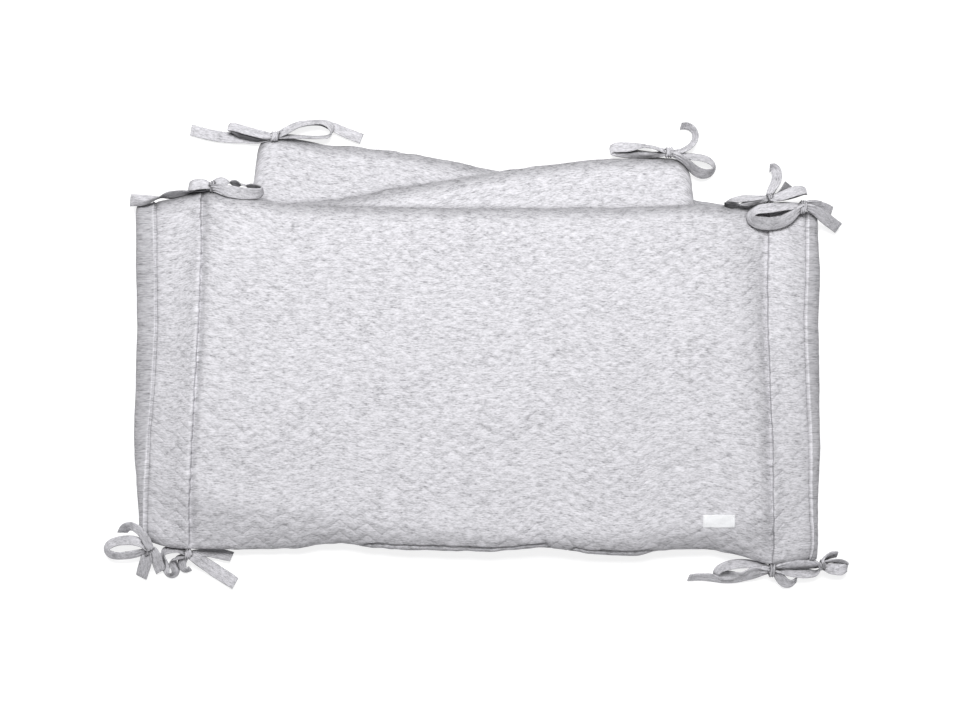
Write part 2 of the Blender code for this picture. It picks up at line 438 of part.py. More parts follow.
def strip_sections():
    """Sections of the strip from one free end to the other, as lists of
    (upper, lower) point pairs for each place across, plus the two edge points."""
    sections = []

    def add(make):
        pairs = [make(a) for a in ACROSS]
        edges = [make(a)[2] for a in (-1.0, 1.0)]
        sections.append(([(p[0], p[1]) for p in pairs], edges))

    def settle(pair_middle):
        upper, lower, middle = pair_middle
        lower.z = max(lower.z, 0.0)
        return upper, lower, middle

    def side_maker(table, u, on_floor, end_distance, fold_distance):
        low_x, low_y, high_x, high_y = side_row(table, u)
        corner = 0.0
        if end_distance < CORNER_ROUND:
            corner = CORNER_ROUND - math.sqrt(
                CORNER_ROUND ** 2 - (CORNER_ROUND - end_distance) ** 2)
        squeeze = 1 - corner / HALF_WIDTH
        end_share = edge_loft(max(0.0, 1 - end_distance / HALF_WIDTH))

        def make(across):
            w = (across * squeeze + 1) / 2
            x, y = mix(low_x, high_x, w), mix(low_y, high_y, w)
            z = FLOOR_MIDDLE if on_floor else middle_z(x, y)
            blend = 1 - bell(fold_distance, 34.0)
            loft = mix(FOLD_LOFT, PAD_LOFT, blend) * edge_loft(across) * max(end_share, 0.12)
            if abs(across) == 1.0:
                loft = 0.0
            middle = Vector((x, y, z))
            upper, lower = station(middle, Vector((0, 0, 1)), loft)
            return settle((upper, lower, middle))
        return make

    def fold_maker(side, kind, value):
        def make(across):
            y, loft, radius, centre, channel, seam1, table = fold_geometry(side, across)
            if kind == "hump":                      # between the two channels
                x = mix(seam1, centre, value)
                path = -abs(centre - x)
                y_here = front_y(x, across)
                z = mix(front_z(x, y_here), FLOOR_MIDDLE + 2 * radius, value)
                normal = Vector((0, 0, 1))
                from_seam1 = abs(x - seam1)
                pinch1 = 1 - (1 - CHANNEL_LOFT / FOLD_LOFT) * bell(from_seam1, 8.0)
                middle = Vector((x, y_here, z))
            else:                                   # round the fold
                angle = math.pi * value
                path = radius * angle
                normal = Vector((side * math.sin(angle), 0, math.cos(angle)))
                middle = Vector((centre, y, FLOOR_MIDDLE + radius)) + normal * radius
                pinch1 = 1.0
            pinch2 = 1 - OUTER_PINCH * bell(path - channel, 5.0)
            loft = loft * pinch1 * pinch2
            if abs(across) == 1.0:
                loft = 0.0
            upper, lower = station(middle, normal, loft)
            # past the top of the fold the outer surface is the one that rests
            if kind == "arc":
                upper.z = max(upper.z, 0.0)
            return upper, lower, middle
        return make

    def front_maker(from_right):
        def make(across):
            y0 = front_y(0.0, across)
            right = line_x(SEAM1_R, front_y(292.0, across))
            left = line_x(SEAM1_L, front_y(-284.0, across))
            x = mix(right, left, from_right)
            y = front_y(x, across)
            z = front_z(x, y)
            near = min(abs(x - right), abs(x - left))
            loft = PAD_LOFT * edge_loft(across) * (
                1 - (1 - CHANNEL_LOFT / PAD_LOFT) * bell(near, 17.0))
            if abs(across) == 1.0:
                loft = 0.0
            middle = Vector((x, y, z))
            upper, lower = station(middle, Vector((0, 0, 1)), loft)
            return upper, lower, middle
        return make

    def side_steps(table):
        """u values along a side panel with their distances to end and fold."""
        length = math.hypot(table[-1][0] - table[0][0], table[-1][1] - table[0][1])
        spots = [18, 40] + [66 + (length - 66 - 60) * k / 12 for k in range(13)] \
            + [length - 40, length - 24, length - 12, length - 5, length - 1.2, length]
        return [(s / length, max(0.0, length - s), s) for s in spots]

    # The strip is walked with its right side up on the front panel: on the
    # side panels, which are turned over, the surface that faces down is the
    # strip's upper one.
    def flipped(make):
        def turned(across):
            upper, lower, middle = make(across)
            return lower, upper, middle
        return turned

    for u, to_end, to_fold in reversed(side_steps(BOTTOM_LAYER)):
        add(flipped(side_maker(BOTTOM_LAYER, u, True, to_end, to_fold)))
    for k in range(ARC_STEPS, 0, -1):
        add(fold_maker(1, "arc", k / ARC_STEPS))
    for value in (1.0, 0.84, 0.66, 0.4, 0.2, 0.08):
        add(fold_maker(1, "hump", value))
    steps = [0, 5, 11, 19, 30, 45, 66]
    length = 573.0
    fractions = [s / length for s in steps] \
        + [mix(98, length - 98, k / 11) / length for k in range(12)] \
        + [1 - s / length for s in reversed(steps)]
    for f in fractions:
        add(front_maker(f))
    for value in (0.08, 0.2, 0.4, 0.66, 0.84, 1.0):
        add(fold_maker(-1, "hump", value))
    for k in range(1, ARC_STEPS + 1):
        add(fold_maker(-1, "arc", k / ARC_STEPS))
    for u, to_end, to_fold in side_steps(MIDDLE_LAYER):
        add(flipped(side_maker(MIDDLE_LAYER, u, False, to_end, to_fold)))
    return sections


def build_pad(collection, material):
    """The padded strip: a loft through its sections, closed at both ends."""
    bm = bmesh.new()
    rings = []
    for pairs, edges in strip_sections():
        points = [edges[0]] + [p[0] for p in pairs] + [edges[1]] \
            + [p[1] for p in reversed(pairs)]
        rings.append([bm.verts.new(p * MM) for p in points])
    count = len(rings[0])
    for a, b in zip(rings, rings[1:]):
        for i in range(count):
            j = (i + 1) % count
            bm.faces.new((a[i], a[j], b[j], b[i]))
    half = count // 2
    for ring in (rings[0], rings[-1]):
        for i in range(half):                       # upper side to lower side
            quad = [ring[i], ring[i + 1], ring[(count - i - 1) % count], ring[(count - i) % count]]
            unique = list(dict.fromkeys(quad))
            bm.faces.new(unique)
    bmesh.ops.triangulate(bm, faces=bm.faces[:])
    bmesh.ops.recalc_face_normals(bm, faces=bm.faces[:])
    return finish_mesh("bumper_pad", bm, collection, material, smooth=True)


# ------------------------------------------------------------ tapes and bows
def tape_stations(rows):
    """Centre, across vector and width of a tape at each bend, in the frame."""
    stations = []
    for x, y, z, lean_x, lean_y, wide in rows:
        run = math.hypot(lean_x, lean_y)
        rise = math.sqrt(max(wide ** 2 - run ** 2, 0.0))
        z = max(z, rise / 2 + TAPE_THICK / 2 + PIECE_GAP)      # no lower than the surface
        cx, cy = on_grid(x, y, z)
        stations.append((Vector((cx, cy, z)), Vector((lean_x, -lean_y, rise)), wide))
    return stations


def tape_frames(rows):
    """Centre, across and normal vectors and width of a flat tape at its bends."""
    stations = tape_stations(rows)
    frames = []
    for i, (centre, across, wide) in enumerate(stations):
        before = stations[max(i - 1, 0)][0]
        after = stations[min(i + 1, len(stations) - 1)][0]
        tangent = (after - before).normalized()
        across = across.normalized()
        along = across.dot(tangent)
        across = (across - tangent * (along - max(-MOST_SHEAR, min(MOST_SHEAR, along)))).normalized()
        frames.append((centre, across, tangent.cross(across).normalized(), wide))
    return frames


def tape_corners(frame, grow=0.0, shift=Vector()):
    """The four corners of a tape's section, `grow` mm larger all round."""
    centre, across, normal, wide = frame
    return [(centre + shift + across * (sa * (wide / 2 + grow))
             + normal * (sn * (TAPE_THICK / 2 + grow))) * MM
            for sa, sn in ((-1, -1), (1, -1), (1, 1), (-1, 1))]


def add_length(bm, frames, before=None):
    """One closed length of tape: a loft, for its width changes along it.  It
    starts a little way inside the length before it."""
    rings = [tape_corners(frame) for frame in frames]
    if before is not None:
        back = (before[0] - frames[0][0]).normalized() * TAPE_OVERLAP
        rings[0] = tape_corners(frames[0], TAPE_RIDGE)
        rings.insert(0, tape_corners(frames[0], -4 * TAPE_RIDGE, back))
    rings = [[bm.verts.new(p) for p in ring] for ring in rings]
    for a, b in zip(rings, rings[1:]):
        for i in range(4):
            j = (i + 1) % 4
            bm.faces.new((a[i], a[j], b[j], b[i]))
    bm.faces.new(reversed(rings[0]))
    bm.faces.new(rings[-1])


def fill_pockets(mesh):
    """Closed pockets left between crossing tapes are filled."""
    bm = bmesh.new()
    bm.from_mesh(mesh)
    unseen = set(bm.faces)
    while unseen:
        shell, queue = set(), [next(iter(unseen))]
        while queue:
            face = queue.pop()
            if face in shell:
                continue
            shell.add(face)
            queue.extend(f for e in face.edges for f in e.link_faces if f not in shell)
        unseen -= shell
        volume = sum(f.calc_area() * f.normal.dot(f.calc_center_median()) for f in shell)
        if volume < POCKET:
            bmesh.ops.delete(bm, geom=list(shell), context="FACES")
    bm.to_mesh(mesh)
    bm.free()


def build_tie(name, knot, half_sizes, tapes, collection, material):
    """A tie: its knot and the tapes that leave it, joined into one solid.
    Each tape is joined in short lengths, so its loops may touch themselves."""
    parts = []
    bm = bmesh.new()
    bmesh.ops.create_icosphere(bm, subdivisions=2, radius=1.0)
    kx, ky = on_grid(knot[0], knot[1], knot[2])
    for v in bm.verts:
        v.co = Vector(((kx + v.co.x * half_sizes[0]) * MM, (ky + v.co.y * half_sizes[1]) * MM,
                       (knot[2] + v.co.z * half_sizes[2]) * MM))
    tie = finish_mesh(name, bm, collection, material)
    for k, rows in enumerate(tapes):
        frames = tape_frames(rows)
        for start in range(0, len(frames) - 1, TAPE_LENGTH):
            bm = bmesh.new()
            add_length(bm, frames[start:start + TAPE_LENGTH + 1],
                       frames[start - 1] if start else None)
            bmesh.ops.triangulate(bm, faces=bm.faces[:])
            if bm.calc_volume(signed=True) < 0:
                bmesh.ops.reverse_faces(bm, faces=bm.faces[:])
            parts.append(finish_mesh("%s_%d_%d" % (name, k, start), bm, collection, material))
    for part in parts:
        join = tie.modifiers.new("join", "BOOLEAN")
        join.operation = "UNION"
        join.solver = "MANIFOLD"
        join.object = part
    depsgraph = bpy.context.evaluated_depsgraph_get()
    depsgraph.update()
    joined = bpy.data.meshes.new_from_object(tie.evaluated_get(depsgraph))
    tie.modifiers.clear()
    old = tie.data
    tie.data = joined
    bpy.data.meshes.remove(old)
    joined.name = name
    fill_pockets(joined)
    for part in parts:
        bpy.data.objects.remove(part)
    return tie


# ------------------------------------------------------------ label, finish
def build_label(pad, collection, material):
    """A small woven patch that lies on the front panel near its lower corner."""
    bm = bmesh.new()
    tree = BVHTree.FromObject(pad, bpy.context.evaluated_depsgraph_get())
    columns, rows = 8, 3
    bmesh.ops.create_grid(bm, x_segments=columns, y_segments=rows, size=0.5)
    top = 0.0
    spots = {}
    for v in bm.verts:
        x = (LABEL_CENTRE[0] + v.co.x * LABEL_SIZE[0]) * MM
        y = (LABEL_CENTRE[1] + v.co.y * LABEL_SIZE[1]) * MM
        hit = tree.ray_cast(Vector((x, y, 0.1)), Vector((0, 0, -1)))[0]
        spots[v] = Vector((x, y, hit.z + (PIECE_GAP + 0.25) * MM))
    for v, spot in spots.items():
        v.co = spot
    faces = bm.faces[:]
    raised = bmesh.ops.extrude_face_region(bm, geom=faces)
    for item in raised["geom"]:
        if isinstance(item, bmesh.types.BMVert):
            item.co.z += LABEL_THICK * MM
    bmesh.ops.triangulate(bm, faces=bm.faces[:])
    bmesh.ops.recalc_face_normals(bm, faces=bm.faces[:])
    return finish_mesh("label", bm, collection, material)


def finish_mesh(name, bm, collection, material, smooth=False):
    mesh = bpy.data.meshes.new(name)
    bm.to_mesh(mesh)
    bm.free()
    mesh.materials.append(material)
    if smooth:
        mesh.shade_smooth()
    thing = bpy.data.objects.new(name, mesh)
    collection.objects.link(thing)
    return thing


def cloth(name, colour, roughness):
    material = bpy.data.materials.new(name)
    material.use_nodes = True
    shader = material.node_tree.nodes["Principled BSDF"]
    shader.inputs["Base Color"].default_value = (*colour, 1.0)
    shader.inputs["Roughness"].default_value = roughness
    shader.inputs["Metallic"].default_value = 0.0
    material.diffuse_color = (*colour, 1.0)
    return material


def main():
    for thing in list(bpy.data.objects):
        bpy.data.objects.remove(thing)
    collection = bpy.data.collections.new("crib_bumper")
    bpy.context.scene.collection.children.link(collection)

    jersey = cloth("heather_jersey", (0.62, 0.62, 0.65), 0.92)
    pad = build_pad(collection, jersey)
    build_label(pad, collection, cloth("woven_label", (0.90, 0.91, 0.93), 0.7))
    for name, knot, half_sizes, tapes in TIES:
        tape = cloth(name + "_tape", (0.60, 0.60, 0.63), 0.92)
        build_tie(name, knot, half_sizes, tapes, collection, tape)


main()
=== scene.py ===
"""Crib bumper, folded flat in three layers, with its ties knotted in bows.

The pad is one continuous strip: right end of the bottom layer, right fold,
front panel, left fold, middle layer.  It is laid out as fine sections along
the strip, and the quilting, the channels' stitching, the puckers, the gathers
at the sewn edge and the soft unevenness of the wadding are moved into the
mesh.  The ties are flat tapes swept through the bends that they follow.

Sizes in the tables are in millimetres, as in the frame's own model, and
become metres when a mesh is made.
"""

import json
import math

import bpy
import numpy as np
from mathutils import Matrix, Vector
from mathutils.bvhtree import BVHTree

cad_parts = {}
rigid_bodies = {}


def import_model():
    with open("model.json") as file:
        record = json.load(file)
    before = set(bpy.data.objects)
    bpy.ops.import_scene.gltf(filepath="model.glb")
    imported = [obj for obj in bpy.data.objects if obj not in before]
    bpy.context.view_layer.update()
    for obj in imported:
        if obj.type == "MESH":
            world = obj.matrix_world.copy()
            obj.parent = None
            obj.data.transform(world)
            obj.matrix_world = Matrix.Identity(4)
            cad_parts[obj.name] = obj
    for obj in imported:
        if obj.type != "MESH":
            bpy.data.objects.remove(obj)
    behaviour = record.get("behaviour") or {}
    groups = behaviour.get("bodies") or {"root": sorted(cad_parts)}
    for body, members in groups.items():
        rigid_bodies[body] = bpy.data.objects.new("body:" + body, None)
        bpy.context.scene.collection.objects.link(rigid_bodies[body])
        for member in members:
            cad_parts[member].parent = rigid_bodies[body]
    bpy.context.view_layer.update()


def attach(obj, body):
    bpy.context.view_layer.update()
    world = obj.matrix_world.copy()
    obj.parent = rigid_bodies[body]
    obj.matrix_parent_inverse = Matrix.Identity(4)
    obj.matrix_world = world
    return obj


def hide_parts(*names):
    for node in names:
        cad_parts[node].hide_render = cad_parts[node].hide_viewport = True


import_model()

MM = 0.001

# ------------------------------------------------------------ sizes (mm)
PAD_LOFT = 15.6
FOLD_LOFT = 12.6
LAYER_PITCH = 16.5
FLOOR_MIDDLE = 7.5
EDGE_POWER = 14.0
HALF_WIDTH = 172.0
PANEL_START = 13.0
PANEL_DROOP = 54.0
SIDE_START = 6.0
SIDE_DROOP = 55.0
CORNER_ROUND = 19.0
TAPE_THICK = 1.6
PIECE_GAP = 0.3
MOST_SHEAR = 0.55

SEAM_LOFT = 2.6          # thickness at the inner channel's stitching
SHOULDER_DROP = 3.0      # how much lower the cloth lies at a fold than beside it
SETTLE = 0.85            # how far a long edge sinks on to what it lies on
EDGE_LOW = 25.0          # how far in the strip's edges start to round off
EDGE_HIGH = 17.0
EDGE_SIDE = 20.0
END_ROUND = 18.0

QUILT_PERIOD = 27.5      # one zig and zag along the strip
QUILT_SWING = 11.0       # from the top of a zigzag to its bottom
QUILT_ROWS = 12.6        # from one zigzag to the next
QUILT_DEEP = 0.64        # depth of its stitching

LABEL_SIZE = (32.0, 13.0)
LABEL_CENTRE = (239.0, -143.0)

# The plan grid is a view from straight above, true at GRID_PLANE.
GRID_ZERO = (478.0, 377.0)
GRID_EYE = (490.0, 355.5)
GRID_PLANE = 30.0
EYE_HEIGHT = 1936.0


def on_grid(gx, gy, z):
    """World x, y (mm) of a grid point at height z."""
    spread = (EYE_HEIGHT - z) / (EYE_HEIGHT - GRID_PLANE)
    return (GRID_EYE[0] - GRID_ZERO[0] + (gx - GRID_EYE[0]) * spread,
            GRID_ZERO[1] - GRID_EYE[1] + (GRID_EYE[1] - gy) * spread)


# Front panel's sewn edges: grid x, grid y.
FRONT_TOP = (
    (134, 208), (142, 204.5), (150, 202), (165, 199.8), (183, 195.5), (203, 189.5), (225, 193.5),
    (262, 199.5), (300, 205), (400, 207.8), (500, 209), (600, 208.5), (690, 206.5), (722, 207.5),
    (745, 204.8), (769, 201.5), (800, 208.5), (812, 212), (822, 222),
)
FRONT_BOTTOM = (
    (134, 533), (144, 540.5), (155, 545), (168, 548), (180, 549.8), (240, 551), (290, 549.3), (340, 544),
    (380, 548.4), (430, 549.6), (495, 550.6), (545, 546.8), (600, 555), (635, 557), (662, 550.5),
    (700, 550), (740, 556), (773, 564), (786, 562.8), (798, 561), (812, 558.8), (822, 546),
)
# Channels and folds across the strip: grid y, then the grid x of each line.
#  y    left outer, left outer channel, left inner channel, and the same right
CROSS_LINES = (
    (200, 137.0, 152.6, 203.2, 768.6, 809.3, 816.4),
    (257, 136.0, 154.2, 202.8, 767.6, 808.3, 819.1),
    (317, 137.4, 154.7, 201.0, 766.6, 806.9, 819.0),
    (377, 136.3, 152.0, 198.2, 768.4, 808.7, 819.4),
    (437, 134.7, 147.8, 194.7, 770.0, 811.5, 820.5),
    (497, 137.7, 145.2, 192.2, 770.8, 812.0, 819.0),
    (550, 140.5, 143.5, 189.6, 773.0, 813.3, 817.5),
)
# Side panels, from the fold to the free end: x, y of the lower edge and of the
# upper edge in the frame (mm).
MIDDLE_LAYER = (
    (-323, -166, -325, 169), (-235, -168, -240, 171), (-130, -168, -149, 177.5),
    (-45, -160, -62, 192.5), (50, -146, 22, 206.5), (155, -134, 118, 218.7),
    (259.5, -122, 211, 222.0),
)
BOTTOM_LAYER = (
    (325, -179, 323, 164), (215, -166, 230, 177), (105, -151, 130, 192),
    (-10, -135, 22, 208), (-95, -124, -60, 225), (-180, -113, -140, 238),
    (-268, -101, -222, 246.5),
)
# where the bottom layer's upper edge dips or stands proud: x, height, width
BOTTOM_DIPS = ((-151, -4.2, 27), (-106, -1.5, 20), (-197, 1.5, 11))

# Each tie: name, the knot's grid x, grid y and height, its half sizes, and its strands. A strand's rows: grid x, grid
# y, height, lean x, lean y, width, then where given a painted light (+) or painted shade (-) over the row, and a
# painted shade over one half across the tape, its sign picking the half.
TIES = (
    ("tie_end_left", (274.7, 136.4, 13.5), (5.5, 3.4, 3.6), (
        (   # right loop, then the left tail
            (276, 136.5, 13, 0, 5, 7), (283, 132.6, 13.5, 2, 7, 9),
            (290, 128.4, 14, 3, 7.5, 11), (297, 124.8, 14.4, 3, 7, 12.5),
            (305, 123.0, 14.6, 1, 6, 12.5), (314, 122.2, 14.4, 0, 5.5, 12.5),
            (322, 122.2, 13.6, -1, 6, 12.5), (328.8, 124.6, 12.6, -3, 7, 12.5),
            (332.4, 130.3, 11.6, -3, 6, 12.5), (329.5, 135.6, 11, 0, 4.5, 12.5),
            (321, 137.0, 11, 0, 4, 12.5), (310, 137.0, 11.4, 0, 4, 12.5),
            (299, 136.6, 12, 0, 4, 11), (288, 136.6, 12.8, 0, 4.5, 9),
            (277, 136.5, 13, 0, 5, 7), (267, 138.5, 10, 0, 7, 9),
            (257, 139.2, 5, 0, 9.5, 12), (246, 138.2, 2.2, 0, 11, 12),
            (232, 137.8, 1.6, 0, 11.5, 12), (218, 136.3, 1.5, 0, 11.5, 12),
            (205, 133.6, 1.5, -1, 11.5, 12), (191, 129.8, 1.5, -1.5, 11.5, 12),
        ), (  # left loop, then the right tail
            (274, 136, 14.5, 0, 5, 7), (266, 135.2, 14.8, 0.3, 8, 9),
            (259, 133.8, 14.6, 0.8, 9, 12), (250, 131.4, 14, 1.2, 9.5, 12.5),
            (240, 128.7, 13.4, 1.5, 9.5, 12.5), (232, 126.6, 12.4, 1.2, 9.5, 12.5),
            (227.8, 127.6, 10.4, 0.5, 7, 12.5), (231, 131.2, 8.0, 0, 1, 12.5),
            (240, 135.8, 7.6, 0, -4.4, 12.5, -0.62), (250, 138.9, 8.2, 0, -4.6, 12.5, -0.66),
            (260, 140.4, 10, 0, -3.8, 10, -0.66), (270, 138, 12.5, 0, 2, 8),
            (279, 134.4, 12.5, 3, 6, 9), (287, 130, 12, 4, 7, 11),
            (296, 125.6, 11.6, 3, 7, 12), (305, 123.6, 11, 1, 6, 12),
            (314, 122.6, 10.4, 0, 6, 12), (323, 122.8, 9.2, -1.5, 7, 12),
            (332, 126.2, 6.5, -3, 9, 12), (345, 132.2, 2.6, -3.5, 10.3, 12),
            (361.8, 138.6, 1.5, -3.8, 10.3, 12),
        ))),
    ("tie_end_right", (669, 152.3, 18.5), (5.5, 3.4, 3.8), (
        (   # left loop, then the tail that curls up
            (666, 152, 19, 0, 5, 8), (660, 150.0, 17.5, 0, 4.5, 10),
            (652, 146.8, 14, 0, 4, 12), (642, 145.6, 11.5, 0, 4.5, 12.5),
            (630, 146.9, 10, 0, 10.2, 12.5), (618, 147.3, 9.5, 0, 11, 12.5),
            (612.0, 148.4, 9, 0, 9.5, 12.5), (609.6, 150.2, 9, 0, 8.5, 12.5),
            (613.0, 152.0, 8.6, 0, 8.5, 12.5), (622, 153.0, 8.4, 0, 9.6, 12.5, 0.1, 0.45),
            (635, 153.8, 9.6, 0, 9.6, 12.5, 0.12, 0.7), (648, 154.6, 12.8, 0, 8.2, 12.5, 0.12, 0.85),
            (658, 154.2, 17, 0, 4.8, 10, 0, 0.6), (668, 152.6, 19, 0, 4, 8),
            (675, 152.6, 18, 1, 4.5, 8), (682, 150.6, 15.5, 2.0, 4.2, 9.5),
            (689, 146.8, 12, 3.4, 3.6, 11), (693.8, 141.6, 9, 4.6, 2.3, 12),
            (695.6, 136.0, 7.8, 4.5, 0.5, 12.5), (694.2, 131.0, 7.4, 4.3, -1.5, 12.5),
            (690.6, 127.4, 7.2, 4.3, -3.7, 12.5), (685.5, 125.6, 7, 3, -5.6, 12.5),
            (680.8, 126.2, 6.8, 1, -6.2, 12.5),
        ), (  # right loop, over the corner of the pad
            (669, 153, 18.5, 0, 5, 8), (677, 154.4, 20, 0, 6, 10),
            (687, 156.2, 19.5, 0, 7.5, 12), (697, 157.2, 16.5, 0, 7.5, 12.5),
            (706, 159.2, 13.5, -1, 8, 12.5), (712.6, 163.6, 11, -3.5, 5.5, 12.5),
            (714.2, 168.6, 10.5, -4, 1, 12.5, -0.15), (710.2, 172.6, 10.5, -3, -6, 12.5, -0.18),
            (703, 173.7, 13, -0.5, -10, 12.5, -0.18), (696, 171.2, 17, 2, -9.5, 12.5, -0.22),
            (690.5, 166.6, 20.5, 3, -8, 12, -0.32), (684.5, 161.0, 24, 1, -6, 10, -0.2),
            (677, 156, 23.5, 0, -5, 8), (670, 153, 20.5, 0, -4, 8),
        ))),
    ("tie_top_left", (212.0, 187.0, 34.0), (2.8, 4.4, 4.2), (
        (   # right loop
            (212.5, 186, 34.5, 1, 6, 8), (216.5, 182.6, 35, 2.5, 8.5, 10),
            (222, 180.8, 34.5, 2, 8, 12), (227.5, 182.2, 34, 1, 6.5, 12.5),
            (232, 183.0, 33, 0, -5.4, 12.5, -0.3), (238.5, 183.8, 32.2, 0, -5.2, 12.5, -0.35),
            (243.5, 184.9, 31.8, 0, 5, 12.5), (248.5, 186.6, 31.8, 0, -4.6, 12.5, -0.3),
            (256, 187.2, 33.5, 0, -5, 12.5, -0.4), (262.6, 189.2, 38, 0, -4, 12.5),
            (260, 192.9, 43.5, 0, -8.5, 12.5), (250, 193.4, 46, 0, -10.8, 12.5),
            (238, 192.7, 46.5, 0, -12.0, 12.5), (226, 190.4, 46.5, 0, -12.1, 12.4),
            (217, 188.2, 42.5, 0, -8, 9.6), (211, 187, 37.5, 0, -5, 8),
        ), (  # left tail, along the pad's upper edge, turned over half way
            (210.5, 187.5, 33, -1, 4, 7),
            (204, 189.2, 29, -1, 4, 9), (196, 190.6, 27, -1, 2.5, 11),
            (187, 192.4, 26.5, -1, -3, 12, -0.2), (177, 194.2, 26, -1, -6, 12, -0.4),
            (168, 195.4, 25.5, -1, -6, 12, -0.4), (160, 197.5, 25, -1, 1, 12, -0.2, 0.6),
            (152, 199.3, 25, -1, 7.5, 12.5, 0, 0.7), (144, 200.4, 25, -1, 11, 12.5, 0, 0.5),
            (137, 200.2, 24, -1, 12.0, 12.5, 0, 0.35), (130.5, 200.2, 20, -1, 12.3, 12.5),
        ), (  # left loop
            (211, 186, 36.8, 0, 6, 9), (206, 184.4, 39.8, 0, 9.8, 12),
            (199, 184.2, 41, 0, 11, 12.5), (192.4, 185.2, 39.6, 0, 11, 12.5),
            (188.6, 186.6, 36.2, 0, 8.5, 12.5, -0.35), (191.5, 187.6, 33, 0, 4, 12.5, -0.4),
            (198, 188.2, 32.2, 0, -2, 12), (205, 188.2, 32.0, 0, -3, 10),
            (211, 187.2, 32, 0, 2, 9),
        ))),
    ("tie_top_right_inner", (769.5, 198.8, 30.0), (3.4, 3.0, 3.8), (
        (   # left loop, then the tail behind the right loop
            (768, 198.3, 31.5, 0, 5, 8), (760, 198.0, 30.5, 0, 4.5, 10),
            (752, 198.2, 33.0, 0, 6.5, 12), (744, 198.6, 35.5, 0, 7.2, 12.5),
            (736, 200.0, 37.5, 0, 6.4, 12.5), (729, 201.6, 38.5, -1, 4, 12.5, -0.2),
            (724.0, 204.0, 39, -2, -2, 12.5, -0.75), (728, 205.4, 39.5, 0, -7.6, 12.5, -0.85),
            (734.5, 205.4, 40, 0, -6.6, 12.5, -0.75), (740.5, 204.6, 40, 0, 1.5, 12.5, -0.05),
            (748, 203.0, 38.5, 0, 6.5, 12, 0, 0.6), (757, 201.4, 35, 0, 6, 10, -0.1, 0.85),
            (768, 198.8, 31.5, 0, 4, 8), (775, 196, 28, 0, -2, 9),
            (781, 192, 24.5, -2, -5.5, 12, -0.3), (785.6, 188.2, 20, -5.4, -6.6, 12.5, -0.48),
            (788.8, 184.2, 16, -8.4, -5.2, 12.5, -0.5),
        ), (  # right loop
            (769, 198.5, 33, 1, 5, 8), (775, 198.0, 35.5, 2, 7.5, 10),
            (782, 196.0, 38, 3, 9, 12), (790, 193.0, 38.5, 3.8, 9.5, 12.5),
            (798, 190.6, 37.5, 3, 9.5, 12.5), (804.5, 190.2, 34.5, 0.5, 8, 12.5),
            (806.4, 191.4, 31.5, 0.5, 6, 12.5), (802.5, 192, 29.5, 1, 6.5, 12.5),
            (796, 193.3, 29.3, 2.5, 8, 12.5), (788, 195.6, 30.3, 3, 8, 12),
            (778, 197.8, 31.5, 2, 7, 10), (770, 198, 31.5, 2, 5, 8),
        ), (  # the tail that stands up
            (768.6, 197.5, 30.5, 6, 1, 7), (769.6, 194, 29, 7, 2, 8),
            (772.2, 188.6, 26, 7.5, 2.5, 10),
            (775.8, 182.5, 22.5, 8.5, 3, 12), (777.3, 176.5, 18.5, 9, 0.5, 12.5),
            (776.4, 170.5, 15, 8.5, -2.5, 12.5), (773.4, 167.0, 12.5, 5, -6, 12.5),
            (769.6, 168.0, 10.5, 0, -8, 12.5),
        ))),
    ("tie_top_right_outer", (802.6, 207.0, 33.5), (4.0, 4.8, 4.2), (
        (   # big left loop over the panel, then the lower tail
            (801, 206, 35, 0, 6, 9), (794, 205.6, 36.5, 0, 7.5, 11),
            (786, 205.8, 38, 0, 9, 12.5), (777, 207.0, 39.5, 0, 10, 12.5),
            (768, 208.0, 41, 1, 10, 12.5), (760, 209, 42, 3, 9, 12.5),
            (753, 212, 42.5, 6.5, 4.5, 12.5), (750.0, 217, 42.5, 8, -2, 12.8, -0.1),
            (754.4, 221.3, 42, 5, -9.5, 13.2, -0.16), (763, 223.2, 40, 1, -12.4, 13.6, -0.2),
            (772, 223.6, 38, -1, -13.0, 13.8, -0.2), (782, 221.6, 38, -3, -12.2, 13.6, -0.18),
            (791, 217.2, 38.5, -4, -10.4, 12.5, -0.1), (798, 211.5, 37.5, -3, -7, 10),
            (803, 207.5, 36, -1, -6, 9), (809, 207.8, 34.5, 1, -6.5, 10),
            (816.0, 211.2, 32.5, 4, -8, 12), (823.5, 216.9, 27, 6, -9, 12.5),
            (831.5, 222.8, 19, 6.5, -9.3, 12.5), (838.6, 228.0, 10, 6.5, -9.3, 12.5),
        ), (  # upper tail
            (803, 205.5, 33, 0, -6, 9), (811, 204.4, 29, 1, -8, 11),
            (818, 205.6, 24, 2, -9, 12), (824.5, 208.2, 17, 2.3, -9.6, 12.5),
            (831.4, 212.0, 9, 2, -9.6, 12.5),
        ))),
    ("tie_bottom_left_outer", (148.5, 551.0, 20.5), (3.4, 3.6, 3.6), (
        (   # left loop
            (146, 548, 26, 0, 6, 9), (141, 543.2, 30, 0, 8, 11),
            (134, 540.6, 29, 0, 8.6, 12.5), (125, 540.2, 24, 0, 8.6, 12.5),
            (116, 541.6, 17, 3, 8, 12.5), (109.0, 545.0, 15.5, 7, 5.5, 12.5),
            (106.4, 549.8, 15, 8, -1, 12.5), (109.8, 554.2, 15, 4.5, -7.5, 12.5),
            (117, 556.0, 15.5, 1, -8, 12.5), (126, 555.6, 17, 0, -8.4, 12.5),
            (135, 554.0, 19, -1, -8, 12.5), (142, 551.8, 21, -1, -7, 10),
            (147.5, 550, 23.5, -1, -6, 9),
        ), (  # the tail that curls over the corner
            (150, 550.5, 27.5, 8.5, -2.5, 10), (147.6, 544.5, 31, 9, -3.5, 11),
            (144.6, 537.4, 35, 8, -5, 11.5), (138.6, 530.2, 37.5, 4.5, -8.5, 12),
            (131, 526.2, 32, 0, -9.5, 12.5), (125.3, 527.8, 25, -6.5, -6.5, 12.5),
            (122.4, 532.3, 18, -9.3, -1, 12.5),
        ), (  # tail straight down
            (148.2, 551.5, 23, 7, 2, 9), (147, 557, 20, 11, 4, 12),
